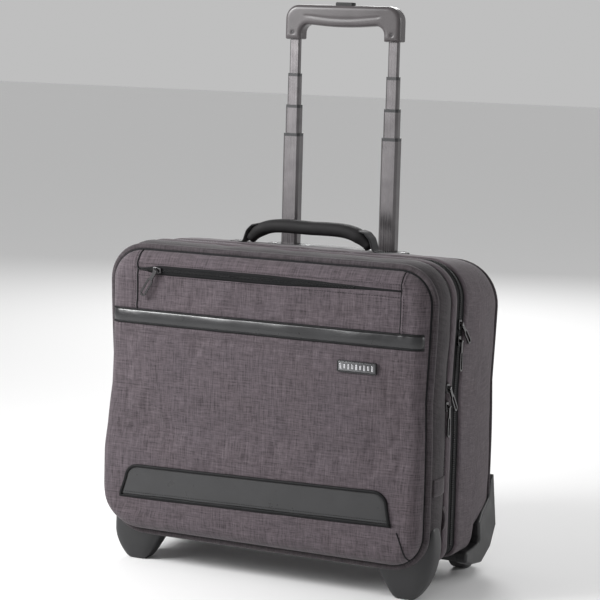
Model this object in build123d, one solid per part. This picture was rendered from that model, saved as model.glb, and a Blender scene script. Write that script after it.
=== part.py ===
from build123d import *
import os
from math import cos, radians, sin, tan

# Rolling laptop case: a soft fabric case on two wheels and two feet, with a four-stage trolley handle.
# Millimetres. The origin is on the floor at the centre of the footprint.
# +X is to the right seen from the front, +Y goes to the back, +Z is up.

# Case body: a rounded box, cut by the two long zips into flap, front section and rear section.
FRONT_HALF_WIDTH = 218.0
FRONT_BOTTOM = 37.0
FRONT_TOP = 409.0
FRONT_CORNER = 47.0
BACK_HALF_WIDTH = 216.0
BACK_BOTTOM = 34.0
BACK_TOP = 393.0
BACK_CORNER = 56.0
PIPING_Y = -94.0
FLAP_ZIP_Y = -53.0
MAIN_ZIP_Y = -20.0
BACK_Y = 118.0
WALL = 5.0
ZIP_RECESS = 3.0
ZIP_BAND = 11.0
HALF_GAP = 0.2

# Front flap: the padded panel above the hinge line opens forward, the pouch below it stays put.
FLAP_FRONT_Y = -114.0
POUCH_FRONT_Y = -119.5
FLAP_HINGE_Y = -80.0
FLAP_HINGE_Z = 150.0
FLAP_SWING = 21.0
FLAP_RIM_LOW_Z = 190.0
PANEL_EDGE_ROUND = 16.0
PANEL_WALL = 7.0

# Leather trim, badge and pocket zip on the front.
TRIM_THICKNESS = 1.5
BAND_LOW, BAND_HIGH = 310.0, 328.0
BADGE_X, BADGE_Z = 129.0, 284.0
BADGE_WIDTH, BADGE_HEIGHT = 52.0, 14.5
BADGE_RIM = 1.5
POCKET_ZIP_Z = 379.5
POCKET_ZIP_HALF = 176.0

# Inside of the case.
BACK_BOARD_Y = 86.0
DIVIDER_Y = 58.0
DIVIDER_TOP = 300.0
ORGANISER_Y = -34.0

# Trolley handle: each stage is a pair of rectangular tubes, given as width across X by depth along Y.
TUBE_X = 70.0
TUBE_Y = 102.0
TUBE_WALL = 1.2
TUBE_SIZES = [(26.0, 20.0), (23.0, 17.0), (20.0, 14.0), (17.0, 11.0), (14.0, 8.0)]
STAGE_TOPS = [390.0, 546.0, 583.0, 624.0, 694.0]
STAGE_BOTTOMS = [46.0, 201.0, 248.0, 299.0, 344.0]
COLLAR = 4.0
BEZEL_TOP = 400.0
BEZEL_HALF_LENGTH = 101.0
BEZEL_DEPTH = 30.0

# Grip on the last stage.
GRIP_BOTTOM = 668.0
GRIP_TOP = 713.0
GRIP_BAR_LOW = 688.0
GRIP_HALF_WIDTH = 81.5
GRIP_INNER_HALF = 58.5
GRIP_DEPTH = 22.0
GRIP_SCREW_Z = 677.0
BUTTON_HALF = 13.0
BUTTON_DEPTH = 10.0
BUTTON_TOP = 717.0
GRIP_FLOOR = 691.0
RELEASE_BAR_LOW = 699.0

# Carry handle on top of the rear section.
HANDLE_Y = 14.0
HANDLE_X = 84.0
HANDLE_PIVOT_Z = 418.0
HANDLE_TOP = 442.0
HANDLE_WIDTH = 28.0
HANDLE_END_R = 9.5

# Wheels and their housings at the back corners.
WHEEL_X = 192.5
WHEEL_Y = 91.6
WHEEL_R = 29.0
WHEEL_WIDTH = 22.0
WELL_HALF_WIDTH = 13.5
WELL_R = 33.0
AXLE_R = 4.0
RUNNING_GAP = 0.05
HOUSING_INNER_X = 170.0
HOUSING_OUTER_X = 226.0
GUARD_INNER_X = 212.0
GUARD_EDGE_ROUND = 3.5
SPIKE_INNER_X = 196.0
HOUSING_BACK_Y = 122.0
WELL_TOP = 67.0
WELL_FRONT_Y = 54.0

# Zip sliders: height of the zip chain over the fabric, and the puller's swing bar over that.
CHAIN = 1.0
SLIDER_THICK = 2.8
BAIL_HEIGHT = 6.0
PULLER_LENGTH = 38.0
PULLER_WIDTH = 8.4
PULLER_THICK = 2.2


# ---------- helpers ----------

def front_plane(y):
    """Plane across the case at depth y: its local axes are X and Z."""
    return Plane(origin=(0, y, 0), x_dir=(1, 0, 0), z_dir=(0, -1, 0))


def side_plane(x):
    """Plane along the case at width x: its local axes are Y and Z."""
    return Plane(origin=(x, 0, 0), x_dir=(0, 1, 0), z_dir=(1, 0, 0))


def block(x_range, y_range, z_range):
    centre = [(low + high) / 2 for low, high in (x_range, y_range, z_range)]
    size = [high - low for low, high in (x_range, y_range, z_range)]
    return Pos(*centre) * Box(*size)


def rod_x(radius, x_range, y, z):
    """Round bar along X."""
    length = x_range[1] - x_range[0]
    return Pos(sum(x_range) / 2, y, z) * Rot(0, 90, 0) * Cylinder(radius, length)


def rod_y(radius, x, y_range, z):
    """Round bar along Y."""
    length = y_range[1] - y_range[0]
    return Pos(x, sum(y_range) / 2, z) * Rot(90, 0, 0) * Cylinder(radius, length)


def rod_z(radius, x, y, z_range):
    """Round bar along Z."""
    length = z_range[1] - z_range[0]
    return Pos(x, y, sum(z_range) / 2) * Cylinder(radius, length)


def mirrored(shape):
    """The same piece on the other side of the case."""
    return mirror(shape, about=Plane.YZ)


def outline(y, inset=0.0):
    """Outline of the case at depth y, a rounded rectangle that shrinks a little towards the back."""
    t = max(0.0, (y - MAIN_ZIP_Y) / (BACK_Y - MAIN_ZIP_Y))
    half = FRONT_HALF_WIDTH + t * (BACK_HALF_WIDTH - FRONT_HALF_WIDTH) - inset
    low = FRONT_BOTTOM + t * (BACK_BOTTOM - FRONT_BOTTOM) + inset
    high = FRONT_TOP + t * (BACK_TOP - FRONT_TOP) - inset
    corner = FRONT_CORNER + t * (BACK_CORNER - FRONT_CORNER) - inset
    sketch = Pos(0, (low + high) / 2) * RectangleRounded(2 * half, high - low, corner)
    return front_plane(y) * sketch


def body_solid(y_low, y_high, inset=0.0):
    """The case's outer form between two depths."""
    return loft([outline(y_low, inset), outline(y_high, inset)])


def side_prism(points, x_low, x_high):
    """Prism along X over a polygon of (y, z) points."""
    face = side_plane(x_low) * make_face(Polyline(*points, close=True))
    return extrude(face, amount=x_high - x_low, dir=(1, 0, 0))


def tube_section(size):
    """A tube's rectangular section with its four corners cut off."""
    width, depth = size
    return chamfer(Rectangle(width, depth).vertices(), min(3.0, depth * 0.22))


def tube_bar(size, x, z_range):
    """Solid bar of a tube's outer section, standing at x on the trolley's centre line."""
    face = Pos(x, TUBE_Y, z_range[0]) * tube_section(size)
    return extrude(face, amount=z_range[1] - z_range[0], dir=(0, 0, 1))


def shrunk(size, gap):
    return (size[0] - 2 * gap, size[1] - 2 * gap)


# ---------- case: rear section ----------

def wheel_notch():
    """Corner of the rear section that the wheel housing fills."""
    return block((HOUSING_INNER_X, 260), (WELL_FRONT_Y, 160), (-20, WELL_TOP))


def case_screw_places():
    """Each screw as (direction, centre of its head's outer face)."""
    places = []
    for x in (-92, -44, 44, 92):
        places.append(((0, 0, -1), (x, TUBE_Y - 3, BEZEL_TOP)))
        places.append(((0, 0, 1), (x, TUBE_Y, BACK_BOTTOM - 1.6)))
    for x, z in ((-204, 76), (-184, 63), (184, 63), (204, 76)):
        places.append(((0, -1, 0), (x, HOUSING_BACK_Y, z)))
    return places


def screw(direction, head_centre, length=12.0, head_r=3.5, head_height=1.6, shank_r=1.75):
    """Pan-head screw with its shank pointing along direction."""
    plane = Plane(origin=head_centre, z_dir=direction)
    head = plane * Pos(0, 0, head_height / 2) * Cylinder(head_r, head_height)
    shank_length = length - head_height
    shank = plane * Pos(0, 0, head_height + shank_length / 2) * Cylinder(shank_r, shank_length)
    return head + shank


def case_screws():
    return [screw(direction, centre) for direction, centre in case_screw_places()]


def tube_spigots(gap):
    """The two blocks under the bezel that pass down through the fabric top round the fixed tubes."""
    half_x, half_y = 16 + gap, 11 + gap
    z_range = (372, BEZEL_TOP - 2)
    blocks = [
        block((x - half_x, x + half_x), (TUBE_Y - half_y, TUBE_Y + half_y), z_range)
        for x in (-TUBE_X, TUBE_X)
    ]
    return blocks[0] + blocks[1]


def rear_shell():
    """Rear half of the fabric case, a deep tray that opens to the front."""
    rim_y = MAIN_ZIP_Y + ZIP_BAND
    shell = body_solid(rim_y, BACK_Y)
    shell += body_solid(MAIN_ZIP_Y + HALF_GAP, rim_y, ZIP_RECESS)
    shell -= body_solid(MAIN_ZIP_Y - 5, BACK_Y - WALL, WALL)
    notch = wheel_notch()
    shell -= notch
    shell -= mirrored(notch)
    shell -= tube_spigots(0.2)
    for item in case_screws():
        shell -= item
    return shell


def inner_panel(y_low, thickness, z_low, z_high, half_width=203.0, corner=44.0):
    """Flat upright panel inside the case."""
    shape = RectangleRounded(2 * half_width, z_high - z_low, corner)
    face = front_plane(y_low) * Pos(0, (z_low + z_high) / 2) * shape
    return extrude(face, amount=thickness, dir=(0, 1, 0))


def back_board():
    return inner_panel(BACK_BOARD_Y, 2.5, 70, 380)


def laptop_divider():
    return inner_panel(DIVIDER_Y, 8, 70, DIVIDER_TOP, corner=20.0)


def main_zip_tape():
    """Zip chain round the rear section's rim, from low on one side over the top to the other side."""
    y_low, y_high = MAIN_ZIP_Y + HALF_GAP, MAIN_ZIP_Y + 6
    chain = body_solid(y_low, y_high, 0.8) - body_solid(y_low - 1, y_high + 1, ZIP_RECESS - 0.3)
    return chain - block((-300, 300), (-60, 60), (0, 52))


def outer_tube(side):
    """Fixed tube that the first stage slides in."""
    x = side * TUBE_X
    z_range = (STAGE_BOTTOMS[0], STAGE_TOPS[0])
    return tube_bar(TUBE_SIZES[0], x, z_range) - tube_bar(shrunk(TUBE_SIZES[0], TUBE_WALL), x, (0, 500))


def trolley_bezel():
    """Plate with rounded ends on top of the case, with a socket for each fixed tube."""
    plate = SlotOverall(2 * BEZEL_HALF_LENGTH, BEZEL_DEPTH)
    bezel = extrude(Pos(0, TUBE_Y - 4, 386) * plate, amount=BEZEL_TOP - 386)
    top_edges = bezel.edges().filter_by_position(Axis.Z, BEZEL_TOP, BEZEL_TOP)
    bezel = fillet(top_edges, 2.0)
    bezel -= body_solid(MAIN_ZIP_Y, BACK_Y + 1)
    bezel += tube_spigots(0.0)
    for x in (-TUBE_X, TUBE_X):
        bezel -= tube_bar(TUBE_SIZES[0], x, (300, STAGE_TOPS[0]))
        bezel -= tube_bar(shrunk(TUBE_SIZES[1], -0.4), x, (300, 500))
    for item in case_screws()[:8]:
        bezel -= item
    return bezel


def bottom_bracket():
    """Block on the floor of the case that holds the lower ends of the fixed tubes."""
    bracket = block((-98, 98), (TUBE_Y - 11.5, TUBE_Y + 10.8), (40, 56))
    bracket = fillet(bracket.edges().filter_by(Axis.Z), 5.0)
    for x in (-TUBE_X, TUBE_X):
        bracket -= tube_bar(TUBE_SIZES[0], x, (STAGE_BOTTOMS[0], 80))
    for item in case_screws()[:8]:
        bracket -= item
    return bracket


def handle_anchors():
    """Stitched-down base plates under the two ends of the carry handle."""
    anchors = []
    for x in (-HANDLE_X, HANDLE_X):
        plate = block((x - 13, x + 13), (HANDLE_Y - 12, HANDLE_Y + 12), (396, 408))
        plate = fillet(plate.edges().filter_by(Axis.Z), 4.0)
        anchors.append(plate - body_solid(MAIN_ZIP_Y, BACK_Y))
    return anchors


# ---------- wheels ----------

def housing_prism(points, radius, x_range):
    """Plate along X over a side outline, rounded except at its first and last points, on the back edge."""
    face = make_face(Polyline(*points, close=True))
    face = fillet(face.vertices().sort_by(Axis.Y)[:-2], radius)
    return extrude(side_plane(x_range[0]) * face, amount=x_range[1] - x_range[0], dir=(1, 0, 0))


def wheel_housing():
    """Right-hand wheel housing: a box with the wheel well in it, and a swept guard up the back edge."""
    back_y = HOUSING_BACK_Y
    box_points = [(back_y, 70), (60, 70), (50, 60), (50, 42), (30, 40), (26, 30), (36, 21), (74, 15), (102, 28),
                  (back_y, 54)]
    guard_points = [(back_y, 119), (112, 112), (102, 92), (76, 80), (62, 68), (62, 52), (64, 43), (44, 40),
                    (20, 39), (18, 26), (36, 19), (74, 14), (104, 28), (back_y, 54)]
    box = housing_prism(box_points, 4.0, (HOUSING_INNER_X, GUARD_INNER_X))
    guard = housing_prism(guard_points, 5.0, (GUARD_INNER_X, HOUSING_OUTER_X))
    guard = fillet(guard.faces().sort_by(Axis.X)[-1].edges(), GUARD_EDGE_ROUND)
    spike_points = [(back_y, 60), (back_y, 112), (back_y - 4, 104), (back_y - 12, 60)]
    spike = side_prism(spike_points, SPIKE_INNER_X, GUARD_INNER_X + 3)
    housing = box + guard + spike
    housing -= body_solid(MAIN_ZIP_Y, BACK_Y) - wheel_notch()
    well_x = (WHEEL_X - WELL_HALF_WIDTH, WHEEL_X + WELL_HALF_WIDTH)
    housing -= rod_x(WELL_R, well_x, WHEEL_Y, WHEEL_R)
    housing -= block(well_x, (WHEEL_Y - WELL_R, WHEEL_Y + WELL_R), (-5, WHEEL_R))
    housing -= rod_x(AXLE_R, (HOUSING_INNER_X - 1, HOUSING_OUTER_X - 4), WHEEL_Y, WHEEL_R)
    for item in case_screws()[8:]:
        housing -= item
    return housing


def wheel_axles():
    axle = rod_x(AXLE_R, (HOUSING_INNER_X + 0.5, HOUSING_OUTER_X - 4.5), WHEEL_Y, WHEEL_R)
    return [axle, mirrored(axle)]


def tyre():
    x_range = (WHEEL_X - WHEEL_WIDTH / 2, WHEEL_X + WHEEL_WIDTH / 2)
    ring = rod_x(WHEEL_R, x_range, WHEEL_Y, WHEEL_R)
    ring = fillet(ring.edges(), 3.5)
    return ring - rod_x(22, x_range, WHEEL_Y, WHEEL_R)


def hub():
    """Wheel hub: rim, web with five holes, and a boss bored for two bearings."""
    half = WHEEL_WIDTH / 2
    wide = (WHEEL_X - half, WHEEL_X + half)
    web = (WHEEL_X - 4, WHEEL_X + 4)
    body = rod_x(22, wide, WHEEL_Y, WHEEL_R) - rod_x(19, wide, WHEEL_Y, WHEEL_R)
    body += rod_x(19.5, web, WHEEL_Y, WHEEL_R)
    body += rod_x(10.5, wide, WHEEL_Y, WHEEL_R)
    for k in range(5):
        angle = radians(72 * k)
        body -= rod_x(2.6, web, WHEEL_Y + 14.5 * cos(angle), WHEEL_R + 14.5 * sin(angle))
    body -= rod_x(AXLE_R + 1, wide, WHEEL_Y, WHEEL_R)
    for end in bearing_spans():
        body -= rod_x(8, end, WHEEL_Y, WHEEL_R)
    return body


def bearing_spans():
    half = WHEEL_WIDTH / 2
    return [(WHEEL_X - half, WHEEL_X - half + 5), (WHEEL_X + half - 5, WHEEL_X + half)]


def bearings():
    return [
        rod_x(8, span, WHEEL_Y, WHEEL_R) - rod_x(AXLE_R + RUNNING_GAP, span, WHEEL_Y, WHEEL_R)
        for span in bearing_spans()
    ]


# ---------- front section and flap ----------

def flap_region(gap):
    """Everything that opens with the flap, seen from the side and grown or shrunk by gap."""
    hinge = (FLAP_HINGE_Y, FLAP_HINGE_Z + gap)
    front_y = -200.0
    wedge_z = FLAP_HINGE_Z + gap + (FLAP_HINGE_Y - front_y) * tan(radians(FLAP_SWING))
    rear_y = FLAP_ZIP_Y - gap
    points = [(front_y, wedge_z), hinge, (rear_y, FLAP_RIM_LOW_Z), (rear_y, 500), (front_y, 500)]
    return side_prism(points, -300, 300)


def fixed_front_region():
    """Everything that stays with the front section when the flap opens."""
    points = [
        (-200, -50), (-200, FLAP_HINGE_Z - 0.5), (FLAP_HINGE_Y, FLAP_HINGE_Z - 0.5),
        (FLAP_ZIP_Y + 0.5, FLAP_RIM_LOW_Z - 1), (FLAP_ZIP_Y + 0.5, 500), (0, 500), (0, -50),
    ]
    return side_prism(points, -300, 300)


def foot_screw_list():
    places = [(side * 160, y) for side in (-1, 1) for y in (-82, -66)]
    return [screw((0, 0, -1), (x, y, FRONT_BOTTOM + WALL + 1.6), length=16.0) for x, y in places]


def front_shell():
    """Front section of the fabric case, a tray that opens to the front behind the flap."""
    rim_y = MAIN_ZIP_Y - ZIP_BAND
    shell = body_solid(PIPING_Y, rim_y)
    shell += body_solid(rim_y, MAIN_ZIP_Y - HALF_GAP, ZIP_RECESS)
    shell -= body_solid(PIPING_Y - 5, MAIN_ZIP_Y - WALL, WALL)
    shell &= fixed_front_region()
    for item in foot_screw_list():
        shell -= item
    return shell


def padded_front(front_y):
    """Front panel of the case: a rounded plate with soft edges, open at the back."""
    plate = extrude(outline(front_y), amount=PIPING_Y - front_y, dir=(0, 1, 0))
    front_edges = plate.faces().sort_by(Axis.Y)[0].edges()
    plate = fillet(front_edges, PANEL_EDGE_ROUND)
    return plate


def flap_panel():
    """Upper front panel with its side walls back to the flap's zip."""
    panel = padded_front(FLAP_FRONT_Y)
    panel += body_solid(PIPING_Y, FLAP_ZIP_Y)
    panel -= body_solid(FLAP_FRONT_Y + PANEL_WALL + 9, FLAP_ZIP_Y + 5, WALL)
    return panel & flap_region(0.5)


def lower_pouch():
    """Bulged lower front panel below the flap's hinge line."""
    top = FLAP_HINGE_Z - 0.5
    pouch = padded_front(POUCH_FRONT_Y) & block((-300, 300), (-200, PIPING_Y), (0, top))
    hollow = body_solid(POUCH_FRONT_Y + PANEL_WALL + 7, PIPING_Y + 1, 9)
    return pouch - (hollow & block((-300, 300), (-200, 0), (0, top - 6)))


def leather_panel():
    """Leather patch across the pouch, narrower at the top, with round upper corners."""
    patch = make_face(Polyline((-188, 88), (188, 88), (178, 127), (-178, 127), close=True))
    patch = fillet(patch.vertices().sort_by(Axis.Y)[-2:], 12)
    return extrude(front_plane(POUCH_FRONT_Y) * patch, amount=TRIM_THICKNESS, dir=(0, -1, 0))


def leather_band():
    y_range = (FLAP_FRONT_Y - TRIM_THICKNESS, FLAP_FRONT_Y)
    return block((-200, 200), y_range, (BAND_LOW, BAND_HIGH))


def badge():
    """Blank metal plate with a raised rim."""
    place = front_plane(FLAP_FRONT_Y) * Pos(BADGE_X, BADGE_Z)
    plate = place * RectangleRounded(BADGE_WIDTH, BADGE_HEIGHT, 1.5)
    inner = place * RectangleRounded(BADGE_WIDTH - 2 * BADGE_RIM, BADGE_HEIGHT - 2 * BADGE_RIM, 1)
    rim = extrude(plate, amount=2.4, dir=(0, -1, 0)) - extrude(inner, amount=5, dir=(0, -1, 0))
    return rim + extrude(plate, amount=1.4, dir=(0, -1, 0))


def pocket_zip_tape():
    y_range = (FLAP_FRONT_Y - CHAIN, FLAP_FRONT_Y)
    return block((-POCKET_ZIP_HALF, POCKET_ZIP_HALF), y_range, (POCKET_ZIP_Z - 3, POCKET_ZIP_Z + 3))


def front_zip_tape():
    """Zip chain on the sides and top of the front section, along the flap's edge."""
    y_low, y_high = FLAP_ZIP_Y + 0.5, FLAP_ZIP_Y + 6
    chain = body_solid(y_low, y_high, -CHAIN) - body_solid(y_low - 1, y_high + 1)
    return chain - block((-300, 300), (-100, 0), (0, 150))


def organiser_panel():
    return inner_panel(ORGANISER_Y, 3, 46, 330, corner=30.0)


def front_foot():
    """Right-hand moulded foot: a tapered horn under the lower front corner."""
    sections = [
        (0.0, (174, 200), (-90, -68), 8),
        (4.0, (169, 205), (-92, -64), 10),
        (14.0, (163, 212), (-93, -60), 12),
        (34.0, (150, 219), (-93.5, -57), 12),
        (56.0, (150, 223.5), (-93.5, -55), 12),
        (80.0, (160, 223), (-93.5, -57), 12),
        (92.0, (170, 219), (-93.5, -60), 12),
    ]
    faces = []
    for z, x_range, y_range, corner in sections:
        width = x_range[1] - x_range[0]
        depth = y_range[1] - y_range[0]
        place = Pos(sum(x_range) / 2, sum(y_range) / 2, z)
        faces.append(place * RectangleRounded(width, depth, corner))
    foot = loft(faces, ruled=True) - body_solid(PIPING_Y - 2, MAIN_ZIP_Y)
    for item in foot_screw_list():
        foot -= item
    return foot.solids().sort_by(SortBy.VOLUME)[-1]


# ---------- trolley stages ----------

def stage_tube(stage, side):
    """One tube of a stage, without the collar on top and the glide below."""
    x = side * TUBE_X
    top = STAGE_TOPS[stage] - (COLLAR if stage < 4 else 0)
    z_range = (STAGE_BOTTOMS[stage] + COLLAR, top)
    bore = tube_bar(shrunk(TUBE_SIZES[stage], TUBE_WALL), x, (0, 800))
    return tube_bar(TUBE_SIZES[stage], x, z_range) - bore


def stage_guides(stage):
    """Glide rings under a stage's tubes, and collars on top that guide the next stage."""
    bands = [(STAGE_BOTTOMS[stage], STAGE_BOTTOMS[stage] + COLLAR)]
    if stage < 4:
        bands.append((STAGE_TOPS[stage] - COLLAR, STAGE_TOPS[stage]))
    rings = []
    for x in (-TUBE_X, TUBE_X):
        bore = tube_bar(shrunk(TUBE_SIZES[stage], TUBE_WALL), x, (0, 800))
        rings += [tube_bar(TUBE_SIZES[stage], x, band) - bore for band in bands]
    return rings


def grip_blank():
    """Outer form of the grip, a flat arch with round shoulders."""
    outer = Pos(0, (GRIP_BOTTOM + GRIP_TOP) / 2) * Rectangle(2 * GRIP_HALF_WIDTH, GRIP_TOP - GRIP_BOTTOM)
    outer = fillet(outer.vertices().sort_by(Axis.Y)[-2:], 19)
    gap_height = GRIP_BAR_LOW - GRIP_BOTTOM + 20
    gap = Pos(0, GRIP_BAR_LOW - gap_height / 2) * Rectangle(2 * GRIP_INNER_HALF, gap_height)
    gap = fillet(gap.vertices().sort_by(Axis.Y)[-2:], 12)
    arch = extrude(front_plane(TUBE_Y + GRIP_DEPTH / 2) * (outer - gap), amount=GRIP_DEPTH, dir=(0, -1, 0))
    front_back = arch.faces().filter_by(Axis.Y)
    return fillet(front_back.edges(), 5.0)


def grip_hollow():
    """Space inside the grip for the tubes' ends, the release bar and the button."""
    y_mid = TUBE_Y
    hollow = block((-74, 74), (y_mid - 3.5, y_mid + 3.5), (GRIP_FLOOR, 705))
    hollow += block((-16, 16), (y_mid - 6, y_mid + 6), (GRIP_FLOOR, 709))
    hollow += block((-BUTTON_HALF - 0.3, BUTTON_HALF + 0.3), (y_mid - 5.3, y_mid + 5.3), (700, 720))
    for x in (-TUBE_X, TUBE_X):
        hollow += tube_bar(TUBE_SIZES[4], x, (GRIP_BOTTOM - 5, STAGE_TOPS[4]))
    return hollow


def grip_screws():
    screws = []
    for x in (-TUBE_X, TUBE_X):
        head_y = TUBE_Y - GRIP_DEPTH / 2 + 0.4
        head_centre = (x, head_y, GRIP_SCREW_Z)
        screws.append(screw((0, 1, 0), head_centre, length=6.3, head_r=2.4, head_height=1.2, shank_r=1.2))
    return screws


def grip_half(front):
    """Front or back moulding of the grip."""
    y_range = (TUBE_Y - 20, TUBE_Y) if front else (TUBE_Y, TUBE_Y + 20)
    half = grip_blank() & block((-100, 100), y_range, (600, 800))
    half -= grip_hollow()
    for x in (-TUBE_X, TUBE_X):
        half -= rod_y(2.4, x, (TUBE_Y - 20, TUBE_Y - GRIP_DEPTH / 2 + 1.6), GRIP_SCREW_Z)
        half -= rod_y(1.2, x, (TUBE_Y - 20, TUBE_Y - 4), GRIP_SCREW_Z)
    return half


def push_button():
    """Button on top of the grip, with a lip under the grip's top wall."""
    x_range = (-BUTTON_HALF, BUTTON_HALF)
    y_range = (TUBE_Y - BUTTON_DEPTH / 2, TUBE_Y + BUTTON_DEPTH / 2)
    cap = block(x_range, y_range, (706, BUTTON_TOP))
    cap = fillet(cap.edges().filter_by(Axis.Z), 3.0)
    cap = fillet(cap.faces().sort_by(Axis.Z)[-1].edges(), 1.5)
    lip = block((-15.2, 15.2), (TUBE_Y - 5.6, TUBE_Y + 5.6), (703.5, 708.7))
    return cap + lip


def release_bar():
    """Bar under the button with a rod down each inner tube."""
    bar = block((-72.5, 72.5), (TUBE_Y - 2.5, TUBE_Y + 2.5), (RELEASE_BAR_LOW, 703.5))
    for x in (-TUBE_X, TUBE_X):
        bar += rod_z(1.8, x, TUBE_Y, (352, RELEASE_BAR_LOW + 1))
    return bar


def button_spring():
    wire_r, coil_r = 0.6, 4.0
    height = RELEASE_BAR_LOW - GRIP_FLOOR - 2 * wire_r - 0.2
    path = Helix(pitch=2.0, height=height, radius=coil_r)
    section = Plane(origin=path @ 0, z_dir=path % 0) * Circle(wire_r)
    return Pos(0, TUBE_Y, GRIP_FLOOR + wire_r + 0.1) * sweep(section, path=path, is_frenet=True)


# ---------- carry handle ----------

def handle_pad():
    """Padded arch of the carry handle, with round feet that turn on its anchors."""
    foot_low = HANDLE_PIVOT_Z - HANDLE_END_R
    shoulder = HANDLE_PIVOT_Z + 8
    under = HANDLE_TOP - 17
    outer = [
        Line((-HANDLE_X - 8, foot_low), (-HANDLE_X - 5, shoulder)),
        ThreePointArc((-HANDLE_X - 5, shoulder), (0, HANDLE_TOP), (HANDLE_X + 5, shoulder)),
        Line((HANDLE_X + 5, shoulder), (HANDLE_X + 8, foot_low)),
        Line((HANDLE_X + 8, foot_low), (HANDLE_X - 8, foot_low)),
        Line((HANDLE_X - 8, foot_low), (HANDLE_X - 12, under - 8)),
        ThreePointArc((HANDLE_X - 12, under - 8), (0, under), (-HANDLE_X + 12, under - 8)),
        Line((-HANDLE_X + 12, under - 8), (-HANDLE_X + 8, foot_low)),
        Line((-HANDLE_X + 8, foot_low), (-HANDLE_X - 8, foot_low)),
    ]
    profile = make_face(outer)
    shoulders = [v for v in profile.vertices() if abs(v.Y - shoulder) < 1]
    profile = fillet(shoulders, 10)
    arch = extrude(front_plane(HANDLE_Y - HANDLE_WIDTH / 2) * profile, amount=HANDLE_WIDTH, dir=(0, 1, 0))
    half = HANDLE_WIDTH / 2
    waist = HANDLE_PIVOT_Z + 10
    front, back = HANDLE_Y - half, HANDLE_Y + half
    section = side_prism([(HANDLE_Y - HANDLE_END_R, HANDLE_PIVOT_Z), (front, waist), (front, 460),
                          (back, 460), (back, waist), (HANDLE_Y + HANDLE_END_R, HANDLE_PIVOT_Z)],
                         -120, 120)
    section += rod_x(HANDLE_END_R, (-120, 120), HANDLE_Y, HANDLE_PIVOT_Z)
    return arch & section


# ---------- zip sliders and pullers ----------

def side_surface(y, z):
    """Local plane on the right side of the case: Y along the zip upwards, Z outwards."""
    return Plane(origin=(FRONT_HALF_WIDTH, y, z), x_dir=(0, 1, 0), z_dir=(1, 0, 0))


def front_surface(x, z):
    """Local plane on the front of the flap: Y upwards, Z outwards."""
    return Plane(origin=(x, FLAP_FRONT_Y, z), x_dir=(1, 0, 0), z_dir=(0, -1, 0))


def slider(along_y):
    """Zip slider lying on a local plane, broad at its mouth and narrower at its tail."""
    shield = [(-4.3, 6.2), (4.3, 6.2), (4.3, 0.5), (2.9, -6.2), (-2.9, -6.2), (-4.3, 0.5)]
    face = make_face(Polyline(*shield, close=True))
    face = fillet(face.vertices(), 1.2)
    if not along_y:
        face = Rot(0, 0, 90) * face
    body = extrude(Pos(0, 0, CHAIN + 0.1) * face, amount=SLIDER_THICK, dir=(0, 0, 1))
    return fillet(body.faces().sort_by(Axis.Z)[-1].edges(), 0.9)


def bail():
    """Bar and two posts that carry the puller."""
    base = CHAIN + SLIDER_THICK - 0.4
    bar = Pos(0, 0, BAIL_HEIGHT) * Rot(0, 90, 0) * Cylinder(0.7, 7.0)
    for x in (-3.1, 3.1):
        bar += Pos(x, 0, (base + BAIL_HEIGHT + 0.7) / 2) * Box(0.9, 2.0, BAIL_HEIGHT + 0.7 - base)
    return bar


def puller():
    """Puller hanging from the bail bar: barrel, neck and a long open loop."""
    barrel = Pos(0, 0, BAIL_HEIGHT) * Rot(0, 90, 0) * (Cylinder(1.9, 4.6) - Cylinder(0.85, 4.6))
    loop_length = 26.0
    loop_y = loop_length / 2 - PULLER_LENGTH
    neck_length = PULLER_LENGTH - loop_length
    slot_width = PULLER_WIDTH * 0.45
    outer = Pos(0, loop_y) * Rot(0, 0, 90) * SlotOverall(loop_length, PULLER_WIDTH)
    outer += Pos(0, -1.4 - neck_length / 2) * Rectangle(4.6, neck_length)
    slot = Pos(0, loop_y) * Rot(0, 0, 90) * SlotOverall(loop_length - 5, slot_width)
    base_z = BAIL_HEIGHT - PULLER_THICK / 2
    blank = extrude(Pos(0, 0, base_z) * (outer - slot), amount=PULLER_THICK, dir=(0, 0, 1))
    rims = blank.faces().filter_by(Axis.Z).edges().filter_by(lambda e: e.center().Y < -8)
    return barrel + chamfer(rims, 0.45)


# name: local plane, whether the zip runs along the plane's Y, and the puller's splay in degrees
SLIDERS = {
    "main_upper": (side_surface(MAIN_ZIP_Y, 332), True, 48),
    "main_lower": (side_surface(MAIN_ZIP_Y, 312), True, 0),
    "flap_upper": (side_surface(FLAP_ZIP_Y, 258), True, 38),
    "flap_lower": (side_surface(FLAP_ZIP_Y, 236), True, 0),
    "pocket": (front_surface(-148, POCKET_ZIP_Z), False, -31),
}


# ---------- write every node ----------

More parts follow.
